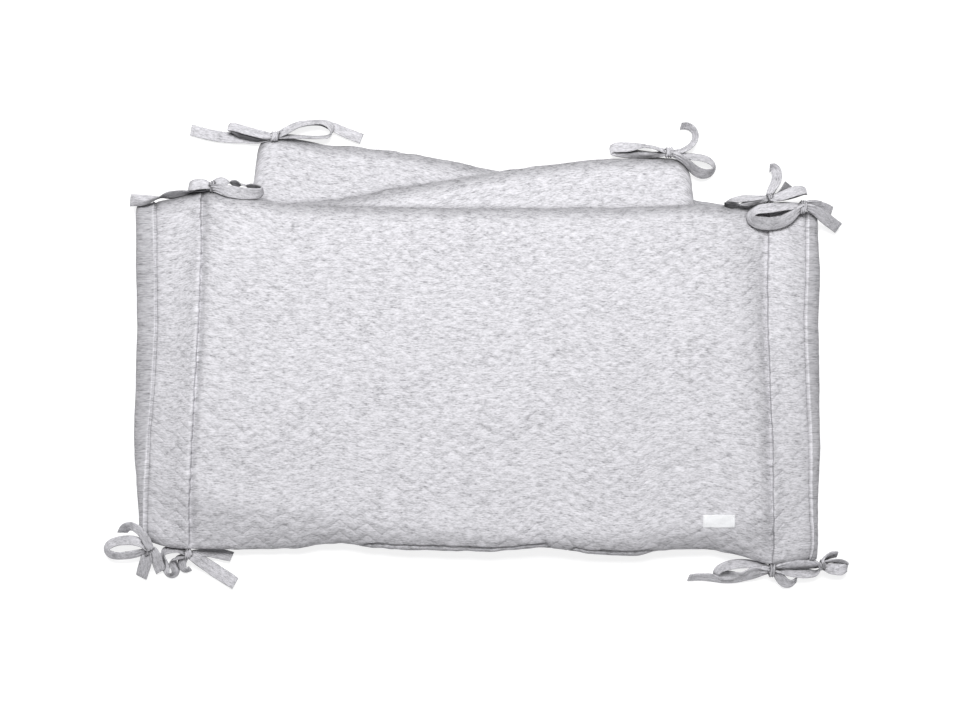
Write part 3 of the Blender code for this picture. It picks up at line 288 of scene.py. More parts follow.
            (145.0, 564, 15, 11.6, 5.0, 12.5), (142.8, 571, 9, 11.4, 5.4, 12.5),
            (141.2, 577.0, 4, 11.2, 5.0, 12.5),
        ), (  # tail to the side
            (150.8, 548.4, 26.5, 10, -3.5, 11.4), (155.0, 555.6, 22, 11.2, -4.4, 12.5),
            (158.2, 564, 14, 11, -5.2, 12.5), (161.0, 571.3, 7, 10.5, -5.8, 12.5),
        ))),
    ("tie_bottom_left_inner", (188.0, 554.0, 18.5), (4.2, 3.6, 4.0), (
        (   # loop on its edge, then the wide tail
            (187, 553.8, 19, -2, 4, 8), (179, 550.2, 18, -1, 5.5, 10),
            (170.6, 550.0, 15.5, 0, 6.4, 12), (164.0, 551.6, 13.5, 2.6, 7, 12.5), (163.2, 556.4, 11.5, 6.5, 4, 12.5, 0.15),
            (164.8, 562, 10, 8.6, 1, 12.5, 0.28), (166.0, 569, 9, 8.4, -1.2, 12.5, 0.28),
            (167.4, 574.6, 8.5, 4.4, -3.4, 12.5, 0.15), (171.6, 576.0, 8.3, 0, -6.6, 12.5, 0.1, 0.6),
            (175.2, 574.0, 8.3, -5, -3, 12.5, 0, 0.4), (175.6, 569.4, 8.6, -6.6, 0, 12.5, 0.1, 0.3),
            (173.0, 564.2, 10, -6.4, 1.5, 12.5, 0.1, 0.3), (173.6, 559.2, 13, -4.4, 3, 11, 0.05, 0.3),
            (181, 556.6, 16.5, -2, 4, 9), (188.0, 555.0, 18.5, -3, 5, 8),
            (192, 556.0, 18, -4, 7, 10), (198.5, 559.6, 13.5, -6, 10, 12.5),
            (207, 565, 8, -6.6, 10.8, 13), (217, 571.7, 3.8, -6.8, 10.8, 13.4),
            (227, 578.0, 1.8, -6.8, 10.8, 13.4), (235.3, 583.4, 1.6, -5.4, 10.2, 13.2),
        ), (  # short end that curls
            (187.0, 554.5, 18.5, 5, -3, 8), (183.5, 558, 15.5, 9, -2, 11),
            (181.6, 563, 11.5, 10, 0, 12), (182.6, 568, 8.8, 8.4, -4, 12),
            (186, 570.6, 7.8, 3, -6.5, 12), (190.5, 568.4, 7.5, -1.5, -5, 12),
        ), (  # second tail, along the pad's lower edge
            (191, 554, 17, -3, 6, 9), (199, 553.2, 10, -3, 7, 12),
            (208, 552.0, 5, -1.5, 8, 12.5, -0.25), (218, 553.4, 2.2, -2, 9.5, 12.5, -0.25),
            (232.0, 556.6, 1.6, -3.5, 9, 12.5, -0.2),
        ))),
    ("tie_bottom_right_inner", (771.4, 569.5, 18.0), (3.2, 5.6, 4.4), (
        (   # left loop, then the curl below
            (770, 568.2, 19, 0, 5, 8), (762, 565.8, 18, 0, 6, 10),
            (752, 564.2, 16, 0, 7.5, 12), (743, 563.8, 14, 0, 8.4, 12.5),
            (735, 564.4, 12.5, 0, 8.6, 12.5), (726, 566.3, 11.3, 1, 8, 12.5),
            (718.5, 570.1, 10.6, 4.5, 5, 12.5), (716.2, 574.3, 10.2, 6, -1, 12.5),
            (720.3, 575.8, 10.3, 3, -8, 12.5, 0.15, 0.7), (728, 575.6, 11, 1, -11, 12.5, 0.15, 0.8),
            (737, 576.0, 12.5, -1, -8, 12.5, 0.2, 0.15), (744, 574.7, 14, -3, -6, 12.5),
            (751, 571.5, 16, -3, -7.5, 12.5), (760, 569.9, 17.8, -1, -8, 11),
            (769, 570.2, 18.8, 0, -6, 8), (775.5, 573.0, 17.5, 5, -4, 9),
            (779.6, 576.8, 14.5, 9, -3, 11.5), (783, 581.0, 11, 9, -5.5, 12.5),
            (787.4, 583.8, 8.5, 6, -8.5, 12.5), (792.8, 582.8, 7, 1.5, -9, 12.5),
            (797.0, 578.8, 6.6, -1, -6, 12.5),
        ), (  # right loop on its edge, then the left tail
            (772, 569.0, 19, 0, -5, 8), (781, 566.6, 18.5, 0, -6, 10),
            (790, 565.4, 17.5, 0, -9.4, 12.5, 0.22, -0.6), (800, 564.4, 15.5, 0, -10.2, 12.5, 0.22, -0.75),
            (809, 564.0, 12.5, 0, -10.8, 12.5, 0.22, -0.75), (816.8, 564.9, 10, -1, -8.5, 12.5, 0.18, -0.55),
            (820.4, 568.0, 8.4, -2.4, -2, 12.5), (817, 572.6, 8.6, 0, 3.4, 12.5),
            (809, 573.2, 10, 0, 8.2, 12.5), (800, 573.2, 12.5, 0, 8.2, 12.5),
            (790, 572.4, 16, 0, 7.4, 12), (781, 571.4, 17.5, 0, 4, 10),
            (772, 571, 18, 0, -2, 8), (764, 572.6, 15.5, 0, -6, 10),
            (755, 575, 12, 0, -8, 12), (745, 577.6, 8.5, -1, -8, 12.5),
            (735, 579.6, 6.3, -1, -8, 12.5), (724, 579.6, 5.6, 0, -8.5, 12.5),
            (712, 577.8, 5.4, 0.5, -8.5, 12.5), (701, 576.8, 5.2, 1, -8.5, 12.5),
            (688.5, 577.6, 5, 2, -8, 12.5),
        ))),
    ("tie_bottom_right_outer", (822.4, 564.6, 22.5), (2.4, 3.4, 3.6), (
        (   # loop to the right
            (823.4, 563.0, 24.5, 0, -4, 8), (829, 561.3, 22.5, 0, -3.4, 11),
            (837, 561.2, 20, 0, -5, 12.5, -0.1), (844, 563.0, 18, 1, -5.5, 12.5, -0.15),
            (847.6, 567.0, 16.5, 0, -8, 12.5), (843, 569.4, 16, 0, -12, 12.5),
            (835, 569.0, 18, 0, -12.3, 12.5), (828.5, 568.6, 21, 0, -10.4, 11),
            (823.6, 566.0, 23.6, 0, -6.5, 9),
        ), (  # upper tail
            (822.8, 561.8, 25, 1, -6, 8), (826.4, 557.6, 22, 1, -7.5, 11),
            (831.4, 555.2, 18, 0.5, -8, 12.5), (837.6, 554.6, 14.5, 0, -6.8, 12.5),
        ))),
)



# ------------------------------------------------------------ camera
def make_camera():
    data = bpy.data.cameras.new("camera")
    data.lens = 70.0
    data.sensor_width = 36.0
    data.clip_start = 0.01
    data.clip_end = 50.0
    camera = bpy.data.objects.new("camera", data)
    camera.location = ((GRID_EYE[0] - GRID_ZERO[0]) * MM,
                       (GRID_ZERO[1] - GRID_EYE[1]) * MM, EYE_HEIGHT * MM)
    camera.rotation_euler = (0.0, 0.0, 0.0)
    bpy.context.scene.collection.objects.link(camera)
    bpy.context.scene.camera = camera


make_camera()


# ------------------------------------------------------------ plain helpers
class Curve:
    """Smooth curve through the rows of a table, level where it turns back."""

    def __init__(self, keys, values):
        keys, values = np.array(keys, float), np.array(values, float)
        if keys[0] > keys[-1]:
            keys, values = keys[::-1], values[::-1]
        rise = np.diff(values) / np.diff(keys)
        slope = np.empty(len(keys))
        slope[0], slope[-1] = rise[0], rise[-1]
        a, b = rise[:-1], rise[1:]
        same = a * b > 0
        slope[1:-1] = np.where(same, 2 * a * b / np.where(same, a + b, 1.0), 0.0)
        self.keys, self.values, self.slope = keys, values, slope

    def __call__(self, x):
        k, v, m = self.keys, self.values, self.slope
        x = np.clip(x, k[0], k[-1])
        i = np.clip(np.searchsorted(k, x, side="right") - 1, 0, len(k) - 2)
        span = k[i + 1] - k[i]
        u = (x - k[i]) / span
        return ((2 * u**3 - 3 * u**2 + 1) * v[i] + (u**3 - 2 * u**2 + u) * span * m[i]
                + (3 * u**2 - 2 * u**3) * v[i + 1] + (u**3 - u**2) * span * m[i + 1])


class Lumps:
    """Smooth unevenness over a plane: the same at every run."""

    def __init__(self, seed, size_x, size_y):
        self.grid = np.random.default_rng(seed).uniform(-1, 1, (128, 128))
        self.size = (size_x, size_y)

    def __call__(self, x, y):
        x, y = np.asarray(x) / self.size[0], np.asarray(y) / self.size[1]
        x, y = np.broadcast_arrays(x, y)
        i, j = np.floor(x).astype(int), np.floor(y).astype(int)
        u, v = x - i, y - j
        u, v = (w * w * w * (w * (w * 6 - 15) + 10) for w in (u, v))
        g = self.grid
        a, b = g[i % 128, j % 128], g[(i + 1) % 128, j % 128]
        c, d = g[i % 128, (j + 1) % 128], g[(i + 1) % 128, (j + 1) % 128]
        return (a * (1 - u) + b * u) * (1 - v) + (c * (1 - u) + d * u) * v


def mix(a, b, u):
    return a + (b - a) * u


def ease(u):
    u = np.clip(u, 0.0, 1.0)
    return u * u * (3 - 2 * u)


def bell(distance, reach):
    return np.exp(-(np.asarray(distance) / reach) ** 2)


def fall(distance, start, reach):
    return 0.5 * (1 + np.cos(np.pi * np.clip((distance - start) / reach, 0.0, 1.0)))


def edge_loft(across):
    return np.sqrt(np.maximum(0.0, 1 - np.abs(across) ** EDGE_POWER))


def edge_round(across, low, high):
    """Share of the loft near the long edges, round over `low` mm at the lower
    edge and over `high` mm at the upper one."""
    reach = np.where(across < 0, low, high)
    inside = np.clip((1 - np.abs(across)) * HALF_WIDTH / reach, 0.0, 1.0)
    return np.sqrt(np.maximum(0.0, 1 - (1 - inside) ** 2.3))


def new_mesh(name, points, faces, material, uv=None, shade=None):
    """A piece from points in millimetres; uv is per point, in metres; shade is how much paler (+) or darker (-) the
    cloth is painted there, as painted light and painted shade."""
    mesh = bpy.data.meshes.new(name)
    mesh.from_pydata((np.asarray(points) * MM).tolist(), [], faces)
    mesh.update()
    if uv is not None:
        layer = mesh.uv_layers.new(name="strip")
        index = np.empty(len(mesh.loops), dtype=np.int64)
        mesh.loops.foreach_get("vertex_index", index)
        layer.data.foreach_set("uv", np.asarray(uv, float)[index].ravel())
    layer = mesh.attributes.new("shade", "FLOAT", "POINT")
    layer.data.foreach_set("value", np.zeros(len(mesh.vertices)) if shade is None else shade)
    mesh.shade_smooth()
    obj = bpy.data.objects.new(name, mesh)
    obj.data.materials.append(material)
    bpy.context.scene.collection.objects.link(obj)
    return obj


def normals_of(points, faces):
    mesh = bpy.data.meshes.new("normals")
    mesh.from_pydata(points.tolist(), [], faces)
    mesh.update()
    out = np.empty(len(points) * 3)
    mesh.vertices.foreach_get("normal", out)
    bpy.data.meshes.remove(mesh)
    return out.reshape(-1, 3)


# ------------------------------------------------------------ the strip's plan
TOP_EDGE = Curve(*zip(*(on_grid(x, y, 24) for x, y in FRONT_TOP)))
BOTTOM_EDGE = Curve(*zip(*(on_grid(x, y, 24) for x, y in FRONT_BOTTOM)))
LINE_HEIGHTS = (15, 28, 26, 26, 28, 15)
LINE_KEYS = [on_grid(0, row[0], 24)[1] for row in CROSS_LINES]
LINES = [Curve(LINE_KEYS, [on_grid(row[1 + k], row[0], LINE_HEIGHTS[k])[0]
                           for row in CROSS_LINES]) for k in range(6)]
OUTER_L, SEAM2_L, SEAM1_L, SEAM1_R, SEAM2_R, OUTER_R = LINES


class SidePanel:
    def __init__(self, table, dips=()):
        n = len(table) - 1
        self.dips = dips
        share = [k / n for k in range(n + 1)]
        self.table = table
        self.edges = [Curve(share, [row[c] for row in table]) for c in range(4)]
        self.low = Curve([r[0] for r in table], [r[1] for r in table])
        self.high = Curve([r[2] for r in table], [r[3] for r in table])
        self.length = math.hypot(table[-1][0] - table[0][0], table[-1][1] - table[0][1])

    def dip(self, x):
        return sum((height * bell(x - at, wide) for at, height, wide in self.dips), 0.0 * x)

    def past(self, x, y):
        end = self.table[-1]
        end_x = mix(end[0], end[2], (y - end[1]) / (end[3] - end[1]))
        beyond = np.where(end_x > 0, x - end_x, end_x - x)
        return np.hypot(np.maximum(0.0, beyond),
                        np.maximum(np.maximum(0.0, y - self.high(x) - self.dip(x)), self.low(x) - y))


MIDDLE, BOTTOM = SidePanel(MIDDLE_LAYER), SidePanel(BOTTOM_LAYER, BOTTOM_DIPS)


def front_y(x, across):
    return mix(BOTTOM_EDGE(x), TOP_EDGE(x), (across + 1) / 2)


def middle_z(x, y):
    return FLOOR_MIDDLE + LAYER_PITCH * fall(BOTTOM.past(x, y), SIDE_START, SIDE_DROOP)


def front_z(x, y):
    return FLOOR_MIDDLE + LAYER_PITCH * (
        fall(BOTTOM.past(x, y), PANEL_START, PANEL_DROOP)
        + fall(MIDDLE.past(x, y), PANEL_START, PANEL_DROOP))


# ------------------------------------------------------------ the strip's sections
# A section is: middle (n, 3), normal (n, 3), loft (n), and the distances to
# the inner and the outer channel's stitching (n each, signed, 99 if far).
FAR = 99.0


def section(x, y, z, normal, loft, inner=None, outer=None):
    n = len(loft)
    middle = np.column_stack([np.broadcast_to(v, n) for v in (x, y, z)]).astype(float)
    normal = np.column_stack([np.broadcast_to(v, n) for v in normal]).astype(float)
    far = np.full(n, FAR)
    return [middle, normal, loft,
            far if inner is None else np.broadcast_to(inner, n).astype(float),
            far if outer is None else np.broadcast_to(outer, n).astype(float)]


def side_section(panel, on_floor, u, to_end, to_fold, a):
    low_x, low_y, high_x, high_y = (edge(u) for edge in panel.edges)
    high_y = high_y + panel.dip(high_x)
    corner = 0.0
    if to_end < CORNER_ROUND:
        corner = CORNER_ROUND - math.sqrt(CORNER_ROUND**2 - (CORNER_ROUND - to_end) ** 2)
    w = (a * (1 - corner / HALF_WIDTH) + 1) / 2
    x, y = mix(low_x, high_x, w), mix(low_y, high_y, w)
    z = np.full_like(x, FLOOR_MIDDLE) if on_floor else middle_z(x, y)
    end_share = max(float(edge_loft(max(0.0, 1 - to_end / HALF_WIDTH))), 0.12)
    full = mix(FOLD_LOFT, PAD_LOFT, 1 - bell(to_fold, 34.0))
    ends = np.sqrt(max(0.0, 1 - max(0.0, 1 - to_end / END_ROUND) ** 2.3))
    shape = edge_round(a, EDGE_LOW, EDGE_SIDE) * max(float(ends), 0.12)
    z = z - SETTLE * full / 2 * (1 - shape)
    loft = full * shape
    return section(x, y, z, (0, 0, -1), loft)        # turned over


def fold_section(side, q, a):
    """Round a fold: q from 0 at the inner channel to 1 at the outer channel
    and to 2 where the side panel starts."""
    outer, seam2, seam1 = (OUTER_R, SEAM2_R, SEAM1_R) if side > 0 else (OUTER_L, SEAM2_L, SEAM1_L)
    y_fold = front_y(side * 326.0, a)
    shape = edge_round(a, EDGE_LOW, EDGE_HIGH)
    radius = (front_z(side * 326.0, y_fold) - FLOOR_MIDDLE) / 2
    centre = outer(y_fold) - side * (radius + FOLD_LOFT * edge_loft(a) / 2)
    offset = side * (seam2(y_fold) - centre)
    channel = np.where(offset <= 0, offset,
                       radius * np.arcsin(np.clip(offset / (radius + 2.5), -1.0, 1.0)))
    first = seam1(y_fold)
    start = -np.abs(centre - first)
    path = mix(start, channel, q) if q <= 1 else mix(channel, math.pi * radius, q - 1)
    # the hump, up to the top of the fold
    x_hump = centre + side * np.minimum(path, 0.0)
    y_hump = front_y(x_hump, a)
    along = 1 - path / start
    top = FLOOR_MIDDLE + 2 * radius - SHOULDER_DROP
    z_hump = mix(front_z(x_hump, y_hump), top, np.clip(along, 0, 1) ** 1.5)
    # the arc
    angle = np.maximum(path, 0.0) / radius
    x_arc = centre + radius * side * np.sin(angle)
    y_arc = mix(front_y(centre, a), y_fold, ease(angle / 0.7))
    low_radius = radius - SHOULDER_DROP / 2
    z_arc = FLOOR_MIDDLE + low_radius + low_radius * np.cos(angle)
    on_arc = path > 0
    x, y = np.where(on_arc, x_arc, x_hump), np.where(on_arc, y_arc, y_hump)
    z = np.where(on_arc, z_arc, z_hump)
    turn = np.where(on_arc, angle, 0.0)
    normal = (side * np.sin(turn), 0.0, np.cos(turn))
    inner = start - path
    loft = FOLD_LOFT * (1 - (1 - SEAM_LOFT / FOLD_LOFT) * bell(inner, 1.0)
                        + 0.05 * bell(inner + 4.0, 2.5))
    loft = loft * (1 - 0.30 * bell(path - channel, 3.4))
    # the long edges settle inwards
    settle = SETTLE * (1 - shape) * FOLD_LOFT / 2 * np.cos(np.clip(turn, 0, math.pi) / 2) ** 2
    x, z = x - normal[0] * settle, z - normal[2] * settle
    return section(x, y, z, normal, loft * shape, inner, path - channel)


def front_section(from_right, a):
    right = SEAM1_R(front_y(292.0, a))
    left = SEAM1_L(front_y(-284.0, a))
    x = mix(right, left, from_right)
    y = front_y(x, a)
    near = np.minimum(np.abs(x - right), np.abs(x - left))
    shape = edge_round(a, EDGE_LOW, EDGE_HIGH)
    full = mix(PAD_LOFT, FOLD_LOFT, bell(near, 30.0))
    reach = np.where(x < 0, 5.5, 8.0)
    loft = full * (1 - (1 - SEAM_LOFT / full) * bell(near, reach))
    z = front_z(x, y) - SETTLE * (1 - shape) * full / 2
    return section(x, y, z, (0, 0, 1), loft * shape, near, FAR)


def spread(parts):
    """Places from a list of (from, to, step), without doubles."""
    places = []
    for start, stop, step in parts:
        n = max(1, int(round(abs(stop - start) / step)))
        places += [start + (stop - start) * k / n for k in range(n)]
    return places + [parts[-1][1]]


EDGE_IN = (0.35, 0.8, 1.4, 2.1, 3.0, 4.0, 5.2, 6.5, 8.0, 9.8, 11.8)
COARSE_IN = (0.8, 2.0, 3.5, 5.5, 8.0, 12.0, 18.0)


def columns(low_in, high_in, low_from, parts):
    """Places across, as shares from -1 to 1, from distances in from the edges."""
    inside = spread(parts)
    places = [d for d in low_in if d < inside[0] - 0.5] + inside \
        + [2 * HALF_WIDTH - d for d in reversed(high_in) if 2 * HALF_WIDTH - d > inside[-1] + 0.5]
    return np.array(places) / HALF_WIDTH - 1


W = 2 * HALF_WIDTH
FINE_TOP = columns(EDGE_IN, EDGE_IN, 0, [(14.0, W - 14.0, 2.4)])
COARSE_SIDE = columns(COARSE_IN, COARSE_IN, 0, [(28.0, W - 28.0, 12.0)])
SEEN_SIDE = columns(COARSE_IN, EDGE_IN, 0, [(28.0, W - 70.0, 10.0), (W - 70.0, W - 14.0, 2.4)])


def lay_strip():
    """Every section of the strip as (zone, maker), in order."""
    out = []

    def side_spots(panel):
        n = panel.length
        return spread([(18.0, 40.0, 5.5), (40.0, n - 40.0, 4.5), (n - 40.0, n - 12.0, 3.5),
                       (n - 12.0, n - 5.0, 1.4), (n - 5.0, n - 1.2, 0.95), (n - 1.2, n, 0.4)])

    def side(panel, on_floor, backwards):
        spots = side_spots(panel)
        for s in (reversed(spots) if backwards else spots):
            out.append(("side", lambda a, s=s: side_section(
                panel, on_floor, s / panel.length, max(0.0, panel.length - s), s, a)))

    def fold(side_sign, backwards):
        near = (0.25, 0.5, 0.8, 1.15, 1.6, 2.2, 3.0, 4.1, 5.5, 7.2)
        run = 40.0
        steps = [d / run for d in near] \
            + spread([(9.2 / run, 1 - 7.6 / run, 2.3 / run)]) \
            + [1 - d / run for d in (6.0, 4.8, 3.8, 3.1, 2.5, 2.0, 1.5, 1.0, 0.5)] \
            + [1.0] + [1 + d / run for d in (0.5, 1.0, 1.5, 2.1, 2.9, 3.9, 5.2, 7.0, 9.2)] \
            + spread([(1 + 11.6 / run, 1.6, 2.5 / run), (1.6, 2.0, 3.6 / run)])
        for q in (reversed(steps) if backwards else steps):
            out.append(("fold", lambda a, q=q: fold_section(side_sign, q, a)))

    def bridge(first, second, n):
        for k in range(1, n):
            def make(a, u=k / n):
                one, two = first(a), second(a)
                return [mix(p, q, u) for p, q in zip(one, two)]
            out.append(("side", make))

    side(BOTTOM, True, True)
    last = out[-1][1]
    bridge(last, lambda a: fold_section(1, 2.0, a), 4)
    fold(1, True)
    near = [d / 573.0 for d in (0.0, 0.5, 1.0, 1.6, 2.3, 3.2, 4.4, 6.0, 8.0)]
    for f in near + spread([(10.2 / 573.0, 1 - 10.2 / 573.0, 2.45 / 573.0)]) + [1 - f for f in reversed(near)]:
        out.append(("front", lambda a, f=f: front_section(f, a)))
    fold(-1, False)
    last = out[-1][1]
    first = side_spots(MIDDLE)[0]
    bridge(last, lambda a: side_section(
        MIDDLE, False, first / MIDDLE.length, MIDDLE.length - first, first, a), 4)
    side(MIDDLE, False, False)
    return out


def ring_of(zone, make):
    """One section's ring: points, and for each point its place across, which
    cloth it is on (1 front, 0 back) and the distances to the stitching."""
    if zone == "side":
        front_cols, back_cols = COARSE_SIDE, SEEN_SIDE
    else:
        front_cols, back_cols = FINE_TOP, COARSE_SIDE
    points, across, cloth, inner, outer = [], [], [], [], []
    for cols, sign, flag in ((front_cols, 1, 1.0), (back_cols[::-1], -1, 0.0)):
        middle, normal, loft, d1, d2 = make(cols)
        points.append(middle + sign * normal * (loft / 2)[:, None])
        across.append(cols)
        cloth.append(np.full(len(cols), flag))
        inner.append(d1)
        outer.append(d2)
    ends = make(np.array([-1.0, 1.0]))
    middle, d1, d2 = ends[0], ends[3], ends[4]

    def joined(parts, low, high):
        return np.concatenate([low, parts[0], high, parts[1]])

    return (joined(points, middle[:1], middle[1:]),
            joined(across, [-1.0], [1.0]), joined(cloth, [0.5], [0.5]),
            joined(inner, d1[:1], d1[1:]), joined(outer, d2[:1], d2[1:]))


def zip_rings(start_a, turn_a, start_b, turn_b):
    """Triangles between two closed rings, matched by their place round it."""
    na, nb = len(turn_a), len(turn_b)
    faces, i, j = [], 0, 0
    while i < na or j < nb:
        next_a = turn_a[i + 1] if i + 1 < na else 2.0
        next_b = turn_b[j + 1] if j + 1 < nb else 2.0
        a0, b0 = start_a + i % na, start_b + j % nb
        if j >= nb or (i < na and next_a <= next_b):
            faces.append((a0, start_a + (i + 1) % na, b0))
            i += 1
        else:
            faces.append((a0, start_b + (j + 1) % nb, b0))
            j += 1
    return faces


def build_strip_mesh():
    points, faces, along, across, cloth, inner, outer, zones, arcs = [], [], [], [], [], [], [], [], []
    starts, turns = [], []
    walked, before, count = 0.0, None, 0
    for zone, make in lay_strip():
        ring, a, c, d1, d2 = ring_of(zone, make)
        here = make(np.array([0.0]))[0][0]
        if before is not None:
            walked += float(np.linalg.norm(here - before))
        before = here
        n_front = int((c == 1.0).sum())
        # distance along the outline from the lower edge's seam and from the upper edge's
        step = np.linalg.norm(np.diff(np.vstack([ring, ring[:1]]), axis=0), axis=1)
        run = np.concatenate([[0.0], np.cumsum(step)])
        total = run[-1]
        run = run[:-1]
        low_arc = np.where(run <= total / 2, run, run - total)      # + on the front cloth
        high_arc = run[n_front + 1] - run                            # + on the front cloth
        turn = np.where(c == 1.0, (a + 1) / 2, 1 + (1 - a) / 2)
        turn[0], turn[n_front + 1] = 0.0, 1.0
        starts.append(count)
        turns.append(turn)
        count += len(ring)
        points.append(ring)
        along.append(np.full(len(ring), walked))
        across.append(a)
        cloth.append(c)
        inner.append(d1)
        outer.append(d2)
        arcs.append(np.column_stack([low_arc, high_arc]))
        zones.append(np.full(len(ring), {"side": 0, "fold": 1, "front": 2}[zone]))
    for k in range(len(starts) - 1):
        p, q, na, nb = starts[k], starts[k + 1], len(turns[k]), len(turns[k + 1])
        if na == nb:
            faces += [(p + i, q + i, q + (i + 1) % na, p + (i + 1) % na) for i in range(na)]
        else:
            faces += [(f[0], f[2], f[1]) for f in zip_rings(p, turns[k], q, turns[k + 1])]
    for k, flip in ((0, False), (len(starts) - 1, True)):
        p, turn = starts[k], turns[k]
        n = len(turn)
        half = int(np.argmin(np.abs(turn - 1.0)))
        # front cloth to back cloth, across the thin end
        i, j = 0, n
        while i < half or j > half:
            a_next = turn[i + 1] if i < half else 9.0
            b_next = 2 - turn[(j - 1)] if j > half else 9.0
            if a_next <= b_next:
                tri = (p + i, p + i + 1, p + j % n)
                i += 1
            else:
                tri = (p + i, p + j - 1, p + j % n)
                j -= 1
            if len(set(tri)) == 3:
                faces.append(tri if not flip else (tri[0], tri[2], tri[1]))
    cat = np.concatenate
    return (cat(points), faces, cat(along), cat(across), cat(cloth), cat(inner),
            cat(outer), cat(zones), cat(arcs))


# ------------------------------------------------------------ the strip's relief
BROAD = Lumps(11, 78.0, 52.0)
MIDDLING = Lumps(12, 30.0, 21.0)
SMALL = Lumps(13, 8.5, 5.5)
QUILT_PATCH = Lumps(14, 62.0, 44.0)
GATHER = Lumps(21, 12.0, 26.0)
GATHER_WIDE = Lumps(22, 31.0, 40.0)
PUCKER = Lumps(31, 34.0, 5.2)
PUCKER_FINE = Lumps(32, 12.0, 2.8)
SEAM_WANDER = Lumps(33, 50.0, 26.0)


def quilting(s, t):
    """Zigzag stitching along the strip: -1 on the thread, up to +0.4 between."""
    zig = QUILT_SWING * (np.abs(2 * ((s / QUILT_PERIOD) % 1.0) - 1) - 0.5)
    row = (t - zig) / QUILT_ROWS
    off = np.abs(row - np.round(row)) * QUILT_ROWS
    return -bell(off * 0.78, 1.7) + 0.42 * np.sin(np.pi * off / QUILT_ROWS)


def rolled(x):
    """Where the lower edge's seam has rolled up on to the front cloth."""
    return (ease((x + 124) / 16) * ease((78 - x) / 12)
            + ease((x - 86) / 12) * ease((182 - x) / 16))


def strip_relief(points, along, across, cloth, inner, outer, zones, arcs):
    s, t = along, across * HALF_WIDTH
    edge = HALF_WIDTH - np.abs(t)
    x, y = points[:, 0], points[:, 1]
    front_up = (zones >= 1) & (cloth > 0.4)
    over = ease((y - (TOP_EDGE(x) - 26)) / 14)
    seen = np.where(front_up, 1.0, np.where((zones == 0) & (cloth < 0.6), over, 0.0))

    shape = 0.95 * BROAD(s, t) + 0.42 * MIDDLING(s, t) + 0.10 * SMALL(s, t)
    lower = 0.8 + 0.5 * ease((-t - 20) / 90)
    patch = np.clip(0.62 + 0.55 * QUILT_PATCH(s, t), 0.12, 1.1)
    calm = (1 - 0.6 * bell(edge, 7.0)) * np.where(outer < 50, 0.5, 1.0) * np.where(outer < 50, 1 - 0.8 * ease((outer - 1) / 6), 1.0)
    shape = shape + QUILT_DEEP * patch * lower * calm * quilting(s, t)

    # gathers at the sewn edges, puckers at the channels
    shape = shape + bell(edge, 12.0) * (0.75 * GATHER(s, t) + 0.55 * GATHER_WIDE(s, t))
    near = np.abs(inner)
    shape = shape + bell(near - 4.0, 9.0) * (0.62 * PUCKER(s, t) + 0.25 * PUCKER_FINE(s, t))
    out = np.abs(outer)
    shape = shape + bell(out - 3.0, 6.0) * (0.34 * PUCKER(s + 300, t) + 0.22 * PUCKER_FINE(s + 90, t))

    # stitching: the inner channel is a narrow valley, the outer one a thin
    # standing ridge with a narrow valley on its panel side
    front = (cloth > 0.4) & (zones >= 1)
    left = x < 0
    seam = -np.where(left, 0.0, 0.2) * bell(inner, 1.1)
    ridge, groove = outer + np.where(left, 0.0, 0.6), outer + np.where(left, 1.7, 1.1)
    seam = seam + 1.25 * bell(ridge - 0.5, 1.0) - 1.15 * bell(groove, np.where(left, 1.0, 0.85))
    shape = shape + np.where(front, seam, 0.0)

    # the seam that closes the strip's long edges
    roll = np.where(zones == 2, rolled(x), 0.0)
    low_at = 12.5 * roll + 0.8 * SEAM_WANDER(s, 0.0)
    high_at = 0.9 * SEAM_WANDER(s, 90.0)
    # painted shade and painted highlights at the channels: a dark painted line at the right inner channel's stitching
    # with paler painted light beside it, a painted highlight on the outer channel's ridge, painted shade in its groove
    # and over the fold's outer band, and painted shade growing towards the outer channel
    shade = np.where(front, -np.where(left, 0.0, 0.15) * bell(inner + 0.4, 0.9)
                     + np.where(left, 0.05 * bell(inner + 2.6, 1.8),
                                0.05 * bell(inner - 2.4, 1.6) + 0.03 * bell(inner + 8.0, 5.0))
                     + 0.24 * bell(ridge - 0.5, 0.75) - 0.16 * bell(groove + 0.1, 0.9)
                     - np.where(outer < 50, np.where(left, 0.165, 0.20) * ease((ridge - 1.0) / 1.4)
                                + 0.085 * ease((outer + 24) / 21), 0.0), 0.0)
    # painted shade along the strip's upper edges, a third as strong on the folds' outer bands
    rim = np.where(across > 0, edge, 99.0)
    banded = np.where((outer < 50) & (outer > 0) & front, 0.35, 1.0)
    shade = (1 + shade) * (1 - 0.36 * banded * (1 - ease((rim - 2.0) / 14.5))) - 1
    # the long edges' seams notch the cloth, and painted shade darkens each notch, more where the seam has rolled up
    for arc, place, deep in ((arcs[:, 0] - low_at, 0, roll), (arcs[:, 1] - high_at, 1, 0 * roll)):
        notch = -(1.25 + 1.9 * deep) * bell(arc, 0.95 + 0.4 * deep) + 0.34 * bell(np.abs(arc) - 2.6, 1.2)
        near_edge = np.where(place == 0, across < 0, across > 0)
        shape = shape + np.where(near_edge, notch, 0.0)
        shade = shade - np.where(near_edge, (0.12 + 0.28 * deep) * bell(arc, 1.0), 0.0)

    # painted shade: the bottom layer is painted a little darker than the two above it
    shade = (1 + shade) * np.where(points[:, 2] < LAYER_PITCH + 4, np.where(zones == 0, 0.97, 1.0), 1.0) - 1
    hidden = 0.22 * shape - 0.12
    return mix(hidden, shape, seen), shade


